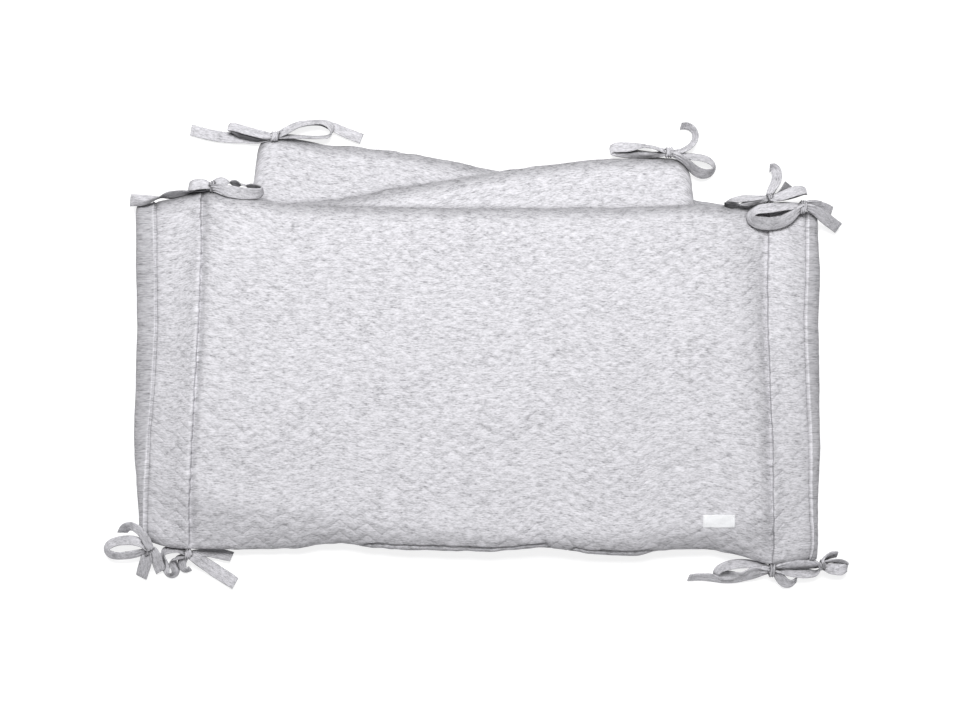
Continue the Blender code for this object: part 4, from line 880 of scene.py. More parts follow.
def build_pad(material):
    points, faces, along, across, cloth, inner, outer, zones, arcs = build_strip_mesh()
    normals = normals_of(points, faces)
    if (normals[np.argmax(points[:, 2])][2]) < 0:
        faces = [tuple(reversed(f)) for f in faces]
        normals = -normals
    height, shade = strip_relief(points, along, across, cloth, inner, outer, zones, arcs)
    # the cloth between the channels leans over the inner channel's stitching
    lean = np.where((zones == 1) & (cloth > 0.4), 0.15 * bell(inner + 1.3, 1.1), 0.0)
    side = np.sign(points[:, 0])
    points = points + normals * height[:, None]
    points[:, 0] -= side * lean
    points[:, 2] = np.maximum(points[:, 2], 0.0)
    uv = np.column_stack([along, across * HALF_WIDTH]) * MM
    return new_mesh("bumper_pad_quilted", points, faces, material, uv, shade)


# ------------------------------------------------------------ tapes
SECTION_U = np.array([0.0, 0.16, 0.32, 0.48, 0.63, 0.77, 0.88, 0.955])
SECTION_U = np.concatenate([-SECTION_U[:0:-1], SECTION_U])
TAPE_STEP = 1.35
TAPE_SEEN = 1.9          # thickness over the folded tape's rounded edges


def tape_rows(rows):
    centres, acrosses, wides = [], [], []
    for x, y, z, lean_x, lean_y, wide in (row[:6] for row in rows):
        run = math.hypot(lean_x, lean_y)
        rise = math.sqrt(max(wide**2 - run**2, 0.0))
        z = max(z, rise / 2 + TAPE_THICK / 2 + PIECE_GAP)
        cx, cy = on_grid(x, y, z)
        centres.append((cx, cy, z))
        acrosses.append(np.array((lean_x, -lean_y, rise)) / max(math.hypot(run, rise), 1e-6))
        wides.append(wide)
    return np.array(centres), np.array(acrosses), np.array(wides)


def through(places, values, at):
    """Smooth run through values at the given places, as a spline that may
    overshoot a little: the tape's own stiffness rounds its bends."""
    places, values = np.asarray(places, float), np.asarray(values, float)
    gap = np.diff(places)
    rise = np.diff(values, axis=0) / gap[:, None]
    slope = np.empty_like(values)
    slope[0], slope[-1] = rise[0], rise[-1]
    slope[1:-1] = (rise[:-1] * gap[1:, None] + rise[1:] * gap[:-1, None]) / (gap[1:] + gap[:-1])[:, None]
    i = np.clip(np.searchsorted(places, at, side="right") - 1, 0, len(places) - 2)
    span = gap[i]
    u = (at - places[i]) / span
    h = [2 * u**3 - 3 * u**2 + 1, (u**3 - 2 * u**2 + u) * span, 3 * u**2 - 2 * u**3, (u**3 - u**2) * span]
    return (h[0][:, None] * values[i] + h[1][:, None] * slope[i]
            + h[2][:, None] * values[i + 1] + h[3][:, None] * slope[i + 1])


def soften(values, times):
    values = values.copy()
    for _ in range(times):
        values[1:-1] = (values[:-2] + 2 * values[1:-1] + values[2:]) / 4
    return values


def tape_run(rows, closed=False):
    """Centre, tangent, across, normal and width every TAPE_STEP along a tape."""
    centres, acrosses, wides = tape_rows(rows)
    chord = np.linalg.norm(np.diff(centres, axis=0), axis=1)
    places = np.concatenate([[0.0], np.cumsum(np.sqrt(np.maximum(chord, 0.3)))])
    fine = np.linspace(0, places[-1], 900)
    line = through(places, centres, fine)
    arc = np.concatenate([[0.0], np.cumsum(np.linalg.norm(np.diff(line, axis=0), axis=1))])
    n = max(8, int(round(arc[-1] / TAPE_STEP)))
    at = np.interp(np.linspace(0, arc[-1], n + 1), arc, fine)
    centre = soften(through(places, centres, at), 3)
    across = soften(through(places, acrosses, at), 6)
    wide = soften(through(places, wides[:, None], at), 3)[:, 0]
    return frames_of(centre, across, wide)


def painted_tones_along(rows, centre):
    """Each row's painted light or shade, and the extra painted shade of the half that lies in shade, carried along the
    tape between the rows."""
    picks, last = [], 0
    for place in tape_rows(rows)[0]:
        ahead = np.linalg.norm(centre[last:last + 24] - place, axis=1)
        last += int(np.argmin(ahead))
        picks.append(last)
    # along the lower edge the pale floor in front lights the faces turned to it
    painted_tones = [(tuple(row[6:]) or (0.2 * min(max(-row[4] / 8, 0.0), 1.0) * (row[1] > 400),)) + (0.0,) for row in rows]
    at = np.arange(len(centre))
    return np.column_stack([np.interp(at, picks, [tone[k] for tone in painted_tones]) for k in (0, 1)])


def frames_of(centre, across, wide):
    tangent = np.gradient(centre, axis=0)
    tangent /= np.linalg.norm(tangent, axis=1)[:, None]
    across = across / np.linalg.norm(across, axis=1)[:, None]
    along = (across * tangent).sum(1)
    across = across - tangent * (along - np.clip(along, -MOST_SHEAR * 0.8, MOST_SHEAR * 0.8))[:, None]
    across /= np.linalg.norm(across, axis=1)[:, None]
    normal = np.cross(tangent, across)
    normal /= np.linalg.norm(normal, axis=1)[:, None]
    return centre, tangent, across, normal, wide


def build_tape(name, run, material, seed, full=12.5, ends=(False, True), thick=TAPE_SEEN, painted_tones=None):
    """A flat, folded and stitched tape swept along its run.  Where it is
    drawn in towards a knot its width goes into lengthwise gathers."""
    centre, tangent, across, normal, wide = run
    n = len(centre)
    rng = np.random.default_rng(seed)
    s = np.concatenate([[0.0], np.cumsum(np.linalg.norm(np.diff(centre, axis=0), axis=1))])
    total = s[-1]
    wave = Lumps(seed, 9.0, 6.0)
    slow = Lumps(seed + 1, 26.0, 10.0)
    gathered = np.clip((full - wide) / 5.5, 0.0, 1.0)
    u = SECTION_U[None, :]
    half = (wide / 2)[:, None] * (1 + 0.035 * wave(s, 50.0))[:, None]
    phase = rng.uniform(0, 6.28) + 0.9 * slow(s, 3.0)[:, None]
    folds = (0.75 * gathered[:, None] * np.cos(3.1 * np.pi * u + phase)
             + 0.38 * gathered[:, None] * np.cos(5.3 * np.pi * u - phase))
    cup = (0.55 * slow(s, 20.0)[:, None]) * (u**2 - 0.3)
    creases = 0.16 * wave(s[:, None] + 0 * u, 14 + 6 * u) * (1 + 1.6 * gathered[:, None])
    lift = folds + cup + creases
    profile = np.sqrt(np.maximum(0.0, 1 - np.abs(u) ** 7))
    body = (thick / 2) * profile * (1 - 0.24 * bell(u * half, 0.75)
                                    - 0.20 * bell(np.abs(u) * half - (half - 1.7), 0.45))
    # a stitched hem across each free end
    taper = np.ones(n)
    for free, distance in ((ends[0], s), (ends[1], total - s)):
        if free:
            taper *= 1 - 0.28 * bell(distance - 3.0, 0.8)
            taper *= np.clip(0.55 + distance / 1.2, 0.55, 1.0)
    body = body * taper[:, None]
    rim = lift_rim(lift)
    rings = []
    for k in range(n):
        side = centre[k] + across[k] * half[k] * SECTION_U[:, None]
        up = side + normal[k] * (lift[k] + body[k])[:, None]
        down = side + normal[k] * (lift[k] - body[k])[:, None]
        low = centre[k] - across[k] * half[k, 0] * 1.0 + normal[k] * rim[k, 0]
        high = centre[k] + across[k] * half[k, 0] * 1.0 + normal[k] * rim[k, 1]
        rings.append(np.vstack([low[None], up, high[None], down[::-1]]))
    points = np.vstack(rings)
    points[:, 2] = np.maximum(points[:, 2], 0.12)
    m = len(rings[0])
    faces = []
    for k in range(n - 1):
        a, b = k * m, (k + 1) * m
        faces += [(a + i, a + (i + 1) % m, b + (i + 1) % m, b + i) for i in range(m)]
    w = len(SECTION_U)
    for a, flip in ((0, True), ((n - 1) * m, False)):
        for i in range(w - 1):
            up0, up1 = a + 1 + i, a + 2 + i
            down0, down1 = a + m - 1 - i, a + m - 2 - i
            quad = (up0, up1, down1, down0)
            faces.append(quad if not flip else quad[::-1])
        tri = (a, a + 1, a + m - 1)
        faces.append(tri if not flip else tri[::-1])
        tri = (a + w, a + w + 1, a + w + 2)
        faces.append(tri if not flip else tri[::-1])
    uv_u = np.repeat(s, m)
    ring_v = np.concatenate([[-1.0], SECTION_U, [1.0], SECTION_U[::-1]])
    uv_v = (ring_v[None, :] * half).ravel()
    uv = np.column_stack([uv_u + 40.0 * (seed % 17), uv_v]) * MM
    # painted shade along the pressed edges, the stitching beside them and down the tape's middle
    inwards = (1 - np.abs(ring_v))[None, :] * half
    shade = -0.20 * bell(inwards, 0.55) - 0.09 * bell(inwards - 1.7, 0.4) - 0.07 * bell(inwards - half, 0.6)
    # painted shade at the hems across the free ends
    for free, distance in ((ends[0], s), (ends[1], total - s)):
        if free:
            shade = shade - 0.16 * bell(distance - 3.0, 0.6)[:, None] - 0.14 * bell(distance, 0.7)[:, None]
    # the rows' painted light and shade, and painted shade over one half across the tape
    if painted_tones is not None:
        half_in_shade = ease((np.sign(painted_tones[:, 1])[:, None] * ring_v[None, :] + 0.25) / 0.9)
        shade = (1 + shade) * (1 + painted_tones[:, 0])[:, None] * (1 - np.abs(painted_tones[:, 1])[:, None] * half_in_shade) - 1
    obj = new_mesh(name, points, faces, material, uv, shade.ravel())
    face_out(obj)
    return obj


def lift_rim(lift):
    return np.column_stack([lift[:, 0] * 1.5 - 0.5 * lift[:, 1], lift[:, -1] * 1.5 - 0.5 * lift[:, -2]])


def face_out(obj):
    """Faces turned outwards."""
    import bmesh
    bm = bmesh.new()
    bm.from_mesh(obj.data)
    if bm.calc_volume(signed=True) < 0:
        bmesh.ops.reverse_faces(bm, faces=bm.faces[:])
    bm.to_mesh(obj.data)
    bm.free()
    obj.data.shade_smooth()


def build_knot(name, centre, halves, tilt, seed, material):
    """A pulled-tight knot: a creased core with one turn of tape round it."""
    gx, gy, gz = centre
    cx, cy = on_grid(gx, gy, gz)
    origin = np.array((cx, cy, gz))
    hx, hy, hz = halves
    rows, cols = 28, 44
    lat = np.linspace(-math.pi / 2, math.pi / 2, rows + 1)[1:-1]
    lon = np.linspace(0, 2 * math.pi, cols, endpoint=False)
    lumps = Lumps(seed, 0.9, 0.5)
    la, lo = np.meshgrid(lat, lon, indexing="ij")
    r = 1 + 0.10 * np.sin(3 * la * 2 + 1.3 * np.cos(lo + seed)) + 0.06 * lumps(lo * 1.0 + 20, la + 9)
    # the core's long axis lies along the bow
    x = np.sin(la) * hx * 1.05
    y = np.cos(la) * np.cos(lo) * hy * 0.92
    z = np.cos(la) * np.sin(lo) * hz * 0.92
    pts = np.stack([x * (1 + 0.04 * (r - 1)), y * r, z * r], axis=-1).reshape(-1, 3)
    pts = np.vstack([[[-hx * 1.05, 0, 0]], pts, [[hx * 1.05, 0, 0]]])
    faces = []
    for i in range(rows - 2):
        for j in range(cols):
            a = 1 + i * cols + j
            b = 1 + i * cols + (j + 1) % cols
            faces.append((a, b, b + cols, a + cols))
    for j in range(cols):
        faces.append((0, 1 + (j + 1) % cols, 1 + j))
        base = 1 + (rows - 2) * cols
        faces.append((len(pts) - 1, base + j, base + (j + 1) % cols))
    turn = np.array([[math.cos(tilt), -math.sin(tilt), 0], [math.sin(tilt), math.cos(tilt), 0], [0, 0, 1]])
    core = pts @ turn.T + origin
    core[:, 2] = np.maximum(core[:, 2], 0.15)
    uv = np.column_stack([core[:, 0] + core[:, 2], core[:, 1] + 0.6 * core[:, 2]]) * MM
    obj = new_mesh(name + "_core", core, faces, material, uv)
    face_out(obj)
    # the turn of tape
    steps = 64
    angle = np.linspace(0, 2 * math.pi, steps + 1)
    slip = 0.9 * np.sin(angle + 0.6)
    ring = np.column_stack([slip, np.cos(angle) * (hy + 0.75), np.sin(angle) * (hz + 0.75)]) @ turn.T + origin
    across = np.column_stack([np.ones(steps + 1), 0.25 * np.sin(angle), 0.18 * np.cos(angle)]) @ turn.T
    wide = np.full(steps + 1, min(hx * 1.45, 7.6)) * (1 + 0.08 * np.sin(angle * 2 + seed))
    run = frames_of(ring, across, wide)
    band = build_tape(name + "_turn", run, material, seed + 5, full=11.5, ends=(False, False), thick=1.5)
    return [obj, band]


# Each tie's pieces: names and the strands each one follows, end to end.
# far_end: where the piece ends.  Pieces too short to be a tape of their own
# go with the first.
TIE_PIECES = {
    "tie_end_left": ((("right_loop_left_tail", (0,), "bare"), ("left_loop_right_tail", (1,), "bare")), 0.0),
    "tie_end_right": ((("left_loop_curled_tail", (0,), "bare"), ("right_loop", (1,), "knot")), 0.05),
    "tie_top_left": ((("right_loop_left_tail", (0, 1), "bare"), ("left_loop", (2,), None)), 0.0),
    "tie_top_right_inner": ((("left_loop_back_tail", (0,), "bare"), ("right_loop_standing_tail", (1, 2), "bare")), 0.2),
    "tie_top_right_outer": ((("left_loop_lower_tail", (0,), "bare"), ("upper_tail", (1,), None)), 0.0),
    "tie_bottom_left_outer": ((("left_loop_curled_tail", (0, 1), "bare"), ("down_tail", (2,), None),
                               ("side_tail", (3,), None)), -0.2),
    "tie_bottom_left_inner": ((("loop_wide_tail", (0,), "bare"), ("curled_end", (1,), None),
                               ("second_tail", (2,), None)), 0.0),
    "tie_bottom_right_inner": ((("left_loop_curled_tail", (0,), "bare"), ("right_loop_left_tail", (1,), "bare")), 0.0),
    "tie_bottom_right_outer": ((("right_loop_upper_tail", (0, 1), "bare"),), 0.1),
}


def build_ties(material):
    seed, everything = 100, []
    for name, knot, halves, strands in TIES:
        pieces, tilt = TIE_PIECES[name]
        made, cords = [], []
        for label, which, far_end in pieces:
            rows = tuple(row for k in which for row in strands[k])
            run = tape_run(rows)
            seed += 7
            obj = build_tape(f"{name}_{label}", run, material, seed, painted_tones=painted_tones_along(rows, run[0]))
            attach(obj, "root")
            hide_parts(name)
            made.append(obj)
            if far_end is not None:
                cords.append((obj, run[0], far_end))
        seed += 7
        knots = build_knot(f"{name}_knot", knot, halves, tilt, seed, material)
        for obj in knots:
            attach(obj, "root")
            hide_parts(name)
        everything += made + knots
    return everything


# ------------------------------------------------------------ painted shade in the hollows
# Cloth packed close together lies in its own shade, and that shade is painted: each point's colour is darkened by how
# closely other cloth surrounds it.
def round_directions(count):
    golden = math.pi * (3 - math.sqrt(5))
    out = []
    for k in range(count):
        z = 1 - 2 * (k + 0.5) / count
        r = math.sqrt(1 - z * z)
        out.append((r * math.cos(golden * k), r * math.sin(golden * k), z))
    return out


def paint_hollow_shade(objs, tree, reach, strength, start, full, count, keep=None):
    """Adds the hollows' painted shade to each piece's shade attribute.  keep(points) picks the points worth looking at."""
    directions = [Vector(d) for d in round_directions(count)]
    for obj in objs:
        mesh = obj.data
        n = len(mesh.vertices)
        co, no, shade = np.empty(n * 3), np.empty(n * 3), np.empty(n)
        mesh.vertices.foreach_get("co", co)
        mesh.vertices.foreach_get("normal", no)
        layer = mesh.attributes["shade"]
        layer.data.foreach_get("value", shade)
        co, no = co.reshape(-1, 3), no.reshape(-1, 3)
        pick = np.arange(n) if keep is None else np.nonzero(keep(co, no))[0]
        found = np.zeros(n)
        for k in pick:
            normal = Vector(no[k])
            start_at = Vector(co[k]) + normal * 0.0004
            weight_sum, closed = 0.0, 0.0
            for d in directions:
                facing = normal.dot(d)
                if facing < 0.08:
                    continue
                weight = facing * (0.35 + 0.65 * max(d.z, 0.0))
                weight_sum += weight
                distance = tree.ray_cast(start_at, d, reach)[3]
                if distance is not None:
                    closed += weight * (1 - distance / reach)
                elif d.z < 0 and -start_at.z / d.z < reach:
                    closed += 0.5 * weight * (1 + start_at.z / d.z / reach)
            found[k] = closed / weight_sum if weight_sum else 0.0
        edges = np.empty(len(mesh.edges) * 2, dtype=np.int64)
        mesh.edges.foreach_get("vertices", edges)
        a, b = edges.reshape(-1, 2).T
        degree = np.bincount(a, minlength=n) + np.bincount(b, minlength=n)
        for _ in range(2):
            total = np.bincount(a, found[b], n) + np.bincount(b, found[a], n)
            found = 0.5 * found + 0.5 * total / np.maximum(degree, 1)
        shade = (1 + shade) * (1 - strength * ease((found - start) / (full - start))) - 1
        layer.data.foreach_set("value", shade)


def tree_of(objs):
    points, faces, base = [], [], 0
    for obj in objs:
        mesh = obj.data
        co = np.empty(len(mesh.vertices) * 3)
        mesh.vertices.foreach_get("co", co)
        points += co.reshape(-1, 3).tolist()
        faces += [tuple(base + v for v in p.vertices) for p in mesh.polygons]
        base += len(mesh.vertices)
    return BVHTree.FromPolygons(points, faces)


# ------------------------------------------------------------ the label
def build_label(pad, material):
    """A small woven patch, bare, sewn down along its two short ends."""
    tree = BVHTree.FromObject(pad, bpy.context.evaluated_depsgraph_get())
    long_side, short_side = LABEL_SIZE
    nx, ny = 64, 26
    xs = np.linspace(-0.5, 0.5, nx + 1)
    ys = np.linspace(-0.5, 0.5, ny + 1)
    top = []
    for v in ys:
        for u in xs:
            x = LABEL_CENTRE[0] + u * long_side
            y = LABEL_CENTRE[1] + v * short_side
            top.append((x, y))
    heights = []
    for x, y in top:
        hit = tree.ray_cast(Vector((x * MM, y * MM, 0.2)), Vector((0, 0, -1)))
        heights.append(hit[0].z / MM)
    heights = np.array(heights).reshape(ny + 1, nx + 1)
    for _ in range(30):                                 # a woven patch bridges small hollows
        soft = heights.copy()
        soft[1:-1, 1:-1] = (heights[:-2, 1:-1] + heights[2:, 1:-1]
                            + heights[1:-1, :-2] + heights[1:-1, 2:]) / 4
        heights = np.maximum(soft, heights * 0 + soft)
    u, v = np.meshgrid(xs, ys)
    end = np.minimum(0.5 - np.abs(u), 0.5) * long_side
    side = (0.5 - np.abs(v)) * short_side
    thick = 0.55 + 0.20 * bell(end - 1.2, 0.9) - 0.42 * bell(end - 2.1, 0.28)
    thick = thick * np.clip(0.35 + side / 0.5, 0.35, 1.0) * np.clip(0.35 + end / 0.4, 0.35, 1.0)
    base = heights + 0.22
    up = np.stack([LABEL_CENTRE[0] + u * long_side, LABEL_CENTRE[1] + v * short_side, base + thick], -1)
    low = np.stack([LABEL_CENTRE[0] + u * long_side, LABEL_CENTRE[1] + v * short_side, base - 0.05], -1)
    points = np.vstack([up.reshape(-1, 3), low.reshape(-1, 3)])
    n, w = (nx + 1) * (ny + 1), nx + 1
    faces = []
    for j in range(ny):
        for i in range(nx):
            a = j * w + i
            faces.append((a, a + 1, a + 1 + w, a + w))
            faces.append((n + a, n + a + w, n + a + 1 + w, n + a + 1))
    for i in range(nx):
        for j in (0, ny):
            a = j * w + i
            quad = (a, n + a, n + a + 1, a + 1)
            faces.append(quad if j == 0 else quad[::-1])
    for j in range(ny):
        for i in (0, nx):
            a = j * w + i
            quad = (a, a + w, n + a + w, n + a)
            faces.append(quad if i == 0 else quad[::-1])
    uv = np.column_stack([points[:, 0], points[:, 1]]) * MM
    obj = new_mesh("label_patch", points, faces, material, uv)
    face_out(obj)
    return obj


# ------------------------------------------------------------ materials
class Nodes:
    """A material's nodes, added one after another."""

    def __init__(self, name):
        self.material = bpy.data.materials.new(name)
        self.material.use_nodes = True
        self.tree = self.material.node_tree
        self.tree.nodes.clear()
        self.output = self.tree.nodes.new("ShaderNodeOutputMaterial")
        self.shader = self.tree.nodes.new("ShaderNodeBsdfPrincipled")
        self.link(self.shader.outputs[0], self.output.inputs["Surface"])

    def link(self, a, b):
        self.tree.links.new(a, b)

    def put(self, socket, value):
        if isinstance(value, bpy.types.NodeSocket):
            self.link(value, socket)
        elif value is not None:
            socket.default_value = value

    def coords(self):
        node = self.tree.nodes.new("ShaderNodeUVMap")
        node.uv_map = "strip"
        return node.outputs[0]

    def scaled(self, vector, x, y, z=1.0, move=(0, 0, 0)):
        node = self.tree.nodes.new("ShaderNodeMapping")
        self.put(node.inputs["Vector"], vector)
        node.inputs["Scale"].default_value = (x, y, z)
        node.inputs["Location"].default_value = move
        return node.outputs[0]

    def noise(self, vector, detail=2.0, rough=0.5, distortion=0.0):
        node = self.tree.nodes.new("ShaderNodeTexNoise")
        node.noise_dimensions = "2D"
        self.put(node.inputs["Vector"], vector)
        node.inputs["Scale"].default_value = 1.0
        node.inputs["Detail"].default_value = detail
        node.inputs["Roughness"].default_value = rough
        node.inputs["Distortion"].default_value = distortion
        return node.outputs[0]

    def math(self, kind, a, b=None, c=None, clamp=False):
        node = self.tree.nodes.new("ShaderNodeMath")
        node.operation = kind
        node.use_clamp = clamp
        for socket, value in zip(node.inputs, (a, b, c)):
            self.put(socket, value)
        return node.outputs[0]

    def wave(self, vector, direction, scale):
        node = self.tree.nodes.new("ShaderNodeTexWave")
        node.wave_type = "BANDS"
        node.bands_direction = direction
        node.wave_profile = "SIN"
        self.put(node.inputs["Vector"], vector)
        node.inputs["Scale"].default_value = scale
        node.inputs["Distortion"].default_value = 1.2
        node.inputs["Detail"].default_value = 1.0
        node.inputs["Detail Scale"].default_value = 0.6
        return node.outputs["Fac"]

    def ramp(self, fac, stops):
        node = self.tree.nodes.new("ShaderNodeValToRGB")
        node.color_ramp.interpolation = "LINEAR"
        for _ in range(len(stops) - 2):
            node.color_ramp.elements.new(0.5)
        for element, (place, colour) in zip(node.color_ramp.elements, stops):
            element.position = place
            element.color = (*colour, 1.0)
        self.put(node.inputs["Fac"], fac)
        return node.outputs["Color"]

    def bump(self, height, distance, strength, normal=None):
        node = self.tree.nodes.new("ShaderNodeBump")
        node.inputs["Strength"].default_value = strength
        node.inputs["Distance"].default_value = distance
        self.put(node.inputs["Height"], height)
        if normal is not None:
            self.link(normal, node.inputs["Normal"])
        return node.outputs[0]


def jersey(name, dark, light, along=1.0, contrast=1.0, level=0.0, knit=1.0, quilted=False):
    """Heather jersey: streaks of pale and dark yarn along the cloth, soft
    patches, and the fine columns of the knit."""
    n = Nodes(name)
    at = n.coords()
    streak = n.noise(n.scaled(at, along / 0.0062, 1 / 0.00115), 2.0, 0.62, 0.08)
    thread = n.noise(n.scaled(at, along / 0.0026, 1 / 0.0008, move=(3.1, 7.7, 0)), 1.0, 0.5)
    patch = n.noise(n.scaled(at, along / 0.0150, 1 / 0.0042, move=(11.3, 2.9, 0)), 1.0, 0.5, 0.12)
    cloud = n.noise(n.scaled(at, along / 0.060, 1 / 0.035, move=(5.3, 1.9, 0)), 1.0, 0.5)
    total = n.math("MULTIPLY", streak, 1.15)
    total = n.math("MULTIPLY_ADD", thread, 0.55, total)
    total = n.math("MULTIPLY_ADD", patch, 0.52, total)
    total = n.math("MULTIPLY_ADD", cloud, 0.10, total)
    total = n.math("SUBTRACT", total, 1.16)               # about 0 in the middle
    total = n.math("MULTIPLY", total, contrast)
    total = n.math("ADD", total, 0.5 + level, clamp=True)
    colour = n.ramp(total, ((0.0, dark), (0.38, tuple(mix(d, l, 0.50) for d, l in zip(dark, light))),
                            (0.62, tuple(mix(d, l, 0.76) for d, l in zip(dark, light))), (1.0, light)))
    # the painted light and painted shade carried in the shade attribute scale the yarn colour
    shade = n.tree.nodes.new("ShaderNodeAttribute")
    shade.attribute_name = "shade"
    tone = n.math("ADD", shade.outputs["Fac"], 1.0)
    if quilted:
        line = stitched_zigzag(n, at)
        area = n.noise(n.scaled(at, 1 / 0.085, 1 / 0.060, move=(2.2, 4.4, 0)), 1.0, 0.5)
        area = n.math("MULTIPLY_ADD", area, 2.4, -0.62, clamp=True)
        line = n.math("MULTIPLY", line, area)
        # painted shade along the quilting's zigzag thread, in patches
        tone = n.math("MULTIPLY_ADD", line, -0.055, tone)
    shaded = n.tree.nodes.new("ShaderNodeVectorMath")
    shaded.operation = "SCALE"
    n.put(shaded.inputs[0], colour)
    n.put(shaded.inputs["Scale"], tone)
    n.put(n.shader.inputs["Base Color"], shaded.outputs[0])
    rough = n.math("MULTIPLY_ADD", streak, -0.10, 0.97)
    n.put(n.shader.inputs["Roughness"], rough)
    n.shader.inputs["Specular IOR Level"].default_value = 0.12
    n.shader.inputs["Sheen Weight"].default_value = 0.06
    n.shader.inputs["Sheen Roughness"].default_value = 0.6
    # knit: columns of loops a millimetre or so apart
    columns = n.wave(at, "X", 2 * math.pi / 20 / 0.0011)
    courses = n.wave(at, "Y", 2 * math.pi / 20 / 0.0008)
    knit_height = n.math("MULTIPLY", columns, courses)
    fuzz = n.noise(n.scaled(at, 1 / 0.0009, 1 / 0.0006, move=(1.7, 9.1, 0)), 2.0, 0.6)
    normal = n.bump(knit_height, 0.00012 * knit, 0.5)
    normal = n.bump(fuzz, 0.00022 * knit, 0.5, normal)
    normal = n.bump(streak, 0.00035 * knit, 0.55, normal)
    if quilted:
        normal = n.bump(n.math("MULTIPLY", line, -1.0), 0.0007, 0.6, normal)
    n.put(n.shader.inputs["Normal"], normal)
    return n.material


def stitched_zigzag(n, at):
    """1 on the quilting's zigzag thread, falling to 0 beside it."""
    split = n.tree.nodes.new("ShaderNodeSeparateXYZ")
    n.put(split.inputs[0], at)
    s = n.math("DIVIDE", split.outputs[0], QUILT_PERIOD * MM)
    zig = n.math("ABSOLUTE", n.math("MULTIPLY_ADD", n.math("FRACT", s), 2.0, -1.0))
    zig = n.math("MULTIPLY_ADD", zig, QUILT_SWING * MM, -0.5 * QUILT_SWING * MM)
    row = n.math("DIVIDE", n.math("SUBTRACT", split.outputs[1], zig), QUILT_ROWS * MM)
    off = n.math("ABSOLUTE", n.math("SUBTRACT", row, n.math("ROUND", row)))
    off = n.math("MULTIPLY", off, QUILT_ROWS * 0.78)
    return n.math("POWER", n.math("SUBTRACT", 1.0, n.math("MULTIPLY", off, 0.42, clamp=True), clamp=True), 2.0)


def woven_tape(name):
    """The label's tape: a fine white weave."""
    n = Nodes(name)
    at = n.coords()
    warp = n.wave(at, "X", 2 * math.pi / 20 / 0.00042)
    weft = n.wave(at, "Y", 2 * math.pi / 20 / 0.00032)
    weave = n.math("MULTIPLY", warp, weft)
    soft = n.noise(n.scaled(at, 1 / 0.004, 1 / 0.003), 2.0, 0.5)
    tone = n.math("MULTIPLY_ADD", weave, 0.35, n.math("MULTIPLY", soft, 0.5))
    colour = n.ramp(tone, ((0.0, (0.60, 0.605, 0.62)), (0.4, (0.70, 0.705, 0.72)), (1.0, (0.78, 0.785, 0.795))))
    n.put(n.shader.inputs["Base Color"], colour)
    n.put(n.shader.inputs["Roughness"], n.math("MULTIPLY_ADD", weave, 0.12, 0.62))
    n.shader.inputs["Specular IOR Level"].default_value = 0.25
    n.shader.inputs["Sheen Weight"].default_value = 0.05
    n.put(n.shader.inputs["Normal"], n.bump(weave, 0.00012, 0.6))
    return n.material


def floor_finish():
    n = Nodes("floor_paper")
    geometry = n.tree.nodes.new("ShaderNodeNewGeometry")
    grain = n.noise(n.scaled(geometry.outputs["Position"], 9.0, 9.0), 2.0, 0.5)
    colour = n.ramp(grain, ((0.0, (0.30, 0.30, 0.304)), (1.0, (0.32, 0.32, 0.324))))
    n.put(n.shader.inputs["Base Color"], colour)
    n.shader.inputs["Roughness"].default_value = 0.95
    n.shader.inputs["Specular IOR Level"].default_value = 0.1
    n.shader.inputs["Emission Color"].default_value = (1.0, 1.0, 1.0, 1.0)
    n.shader.inputs["Emission Strength"].default_value = 0.78
    return n.material


# ------------------------------------------------------------ floor and light
def make_stage():
    mesh = bpy.data.meshes.new("floor")
    e = 6.0
    mesh.from_pydata([(-e, -e, -0.0004), (e, -e, -0.0004), (e, e, -0.0004), (-e, e, -0.0004)],
                     [], [(0, 1, 2, 3)])
    floor = bpy.data.objects.new("floor", mesh)
    floor.data.materials.append(floor_finish())
    bpy.context.scene.collection.objects.link(floor)


def area_light(name, place, aim, size, power, tint=(1, 1, 1), spread=180):
    data = bpy.data.lights.new(name, "AREA")
    data.shape = "RECTANGLE"
    data.size, data.size_y = size
    data.energy = power
    data.color = tint
    data.spread = math.radians(spread)
    light = bpy.data.objects.new(name, data)
    light.location = place
    direction = Vector(aim) - Vector(place)
    light.rotation_euler = direction.to_track_quat("-Z", "Y").to_euler()
    bpy.context.scene.collection.objects.link(light)


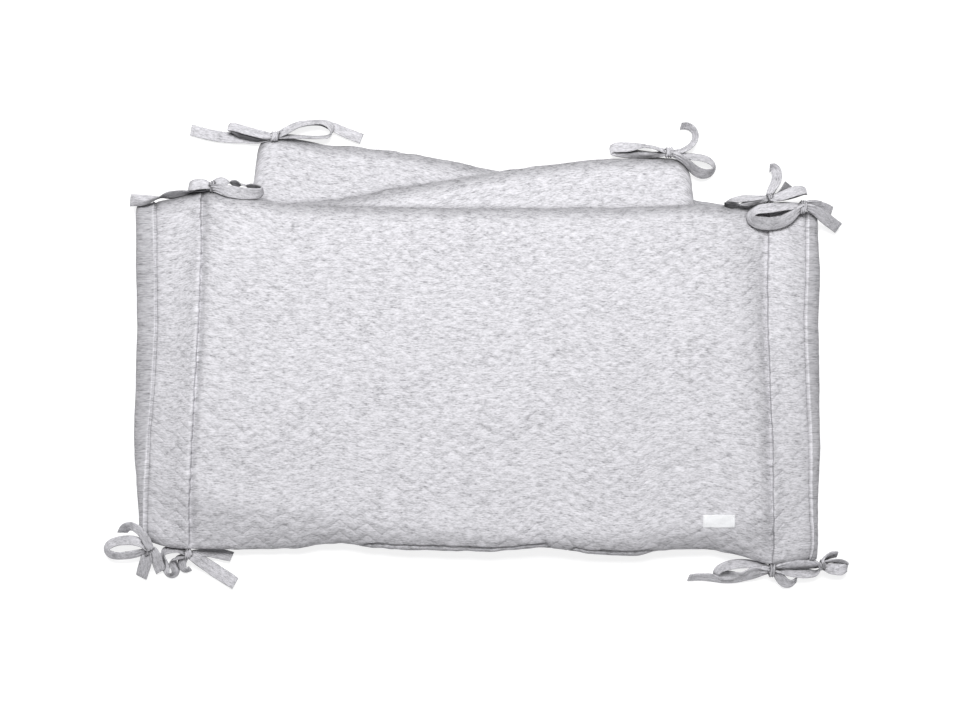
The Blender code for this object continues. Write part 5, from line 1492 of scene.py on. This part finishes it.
def make_light():
    world = bpy.data.worlds.new("studio")
    world.use_nodes = True
    background = world.node_tree.nodes["Background"]
    background.inputs["Color"].default_value = (0.985, 0.985, 1.0, 1.0)
    background.inputs["Strength"].default_value = AMBIENT
    bpy.context.scene.world = world
    area_light("softbox", (-0.05, 0.80, 2.05), (0.0, 0.30, 0.0), (0.9, 0.6), KEY_POWER, spread=120)
    area_light("fill", (0.0, -0.1, 2.9), (0.0, 0.0, 0.0), (2.4, 2.4), FILL_POWER)
    view = bpy.context.scene.view_settings
    view.view_transform = "Standard"
    view.look = "None"
    view.exposure = 0.0
    view.gamma = 1.0


# the part of the pad that gets painted hollow shade
PAD_HOLLOW_SHADE_ZONE = (0.150, -0.150, 0.330)      # only near the long edges and the folds
AMBIENT = 0.232
KEY_POWER = 29.9
FILL_POWER = 10.6

pad_jersey = jersey("pad_jersey", (0.20, 0.198, 0.208), (0.615, 0.608, 0.638), contrast=1.04, quilted=True)
# the ties' jersey is a copy of the pad's painted a little darker, as painted shade for the ribbons' folds
tie_jersey = jersey("tie_jersey", (0.19, 0.188, 0.198), (0.58, 0.573, 0.602), along=1.3, knit=0.9)
label_tape = woven_tape("label_tape")

ties = build_ties(tie_jersey)

pad = build_pad(pad_jersey)
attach(pad, "root")
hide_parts("bumper_pad")

cloth_tree = tree_of(ties + [pad])
# painted shade in the hollows of the ties and of the pad
paint_hollow_shade(ties, cloth_tree, 0.020, 0.80, 0.13, 0.58, 40)
paint_hollow_shade([pad], cloth_tree, 0.026, 0.42, 0.10, 0.60, 26,
       keep=lambda co, no: (no[:, 2] > 0.05) & ((co[:, 1] > PAD_HOLLOW_SHADE_ZONE[0]) | (co[:, 1] < PAD_HOLLOW_SHADE_ZONE[1])
                                                | (np.abs(co[:, 0] + 0.004) > PAD_HOLLOW_SHADE_ZONE[2])))

label = build_label(pad, label_tape)
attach(label, "root")
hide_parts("label")

make_stage()
make_light()

for obj in bpy.context.scene.objects:
    if obj.type == "MESH" and not obj.hide_render:
        print(f"piece {obj.name}: {sum(len(p.vertices) - 2 for p in obj.data.polygons)} triangles")
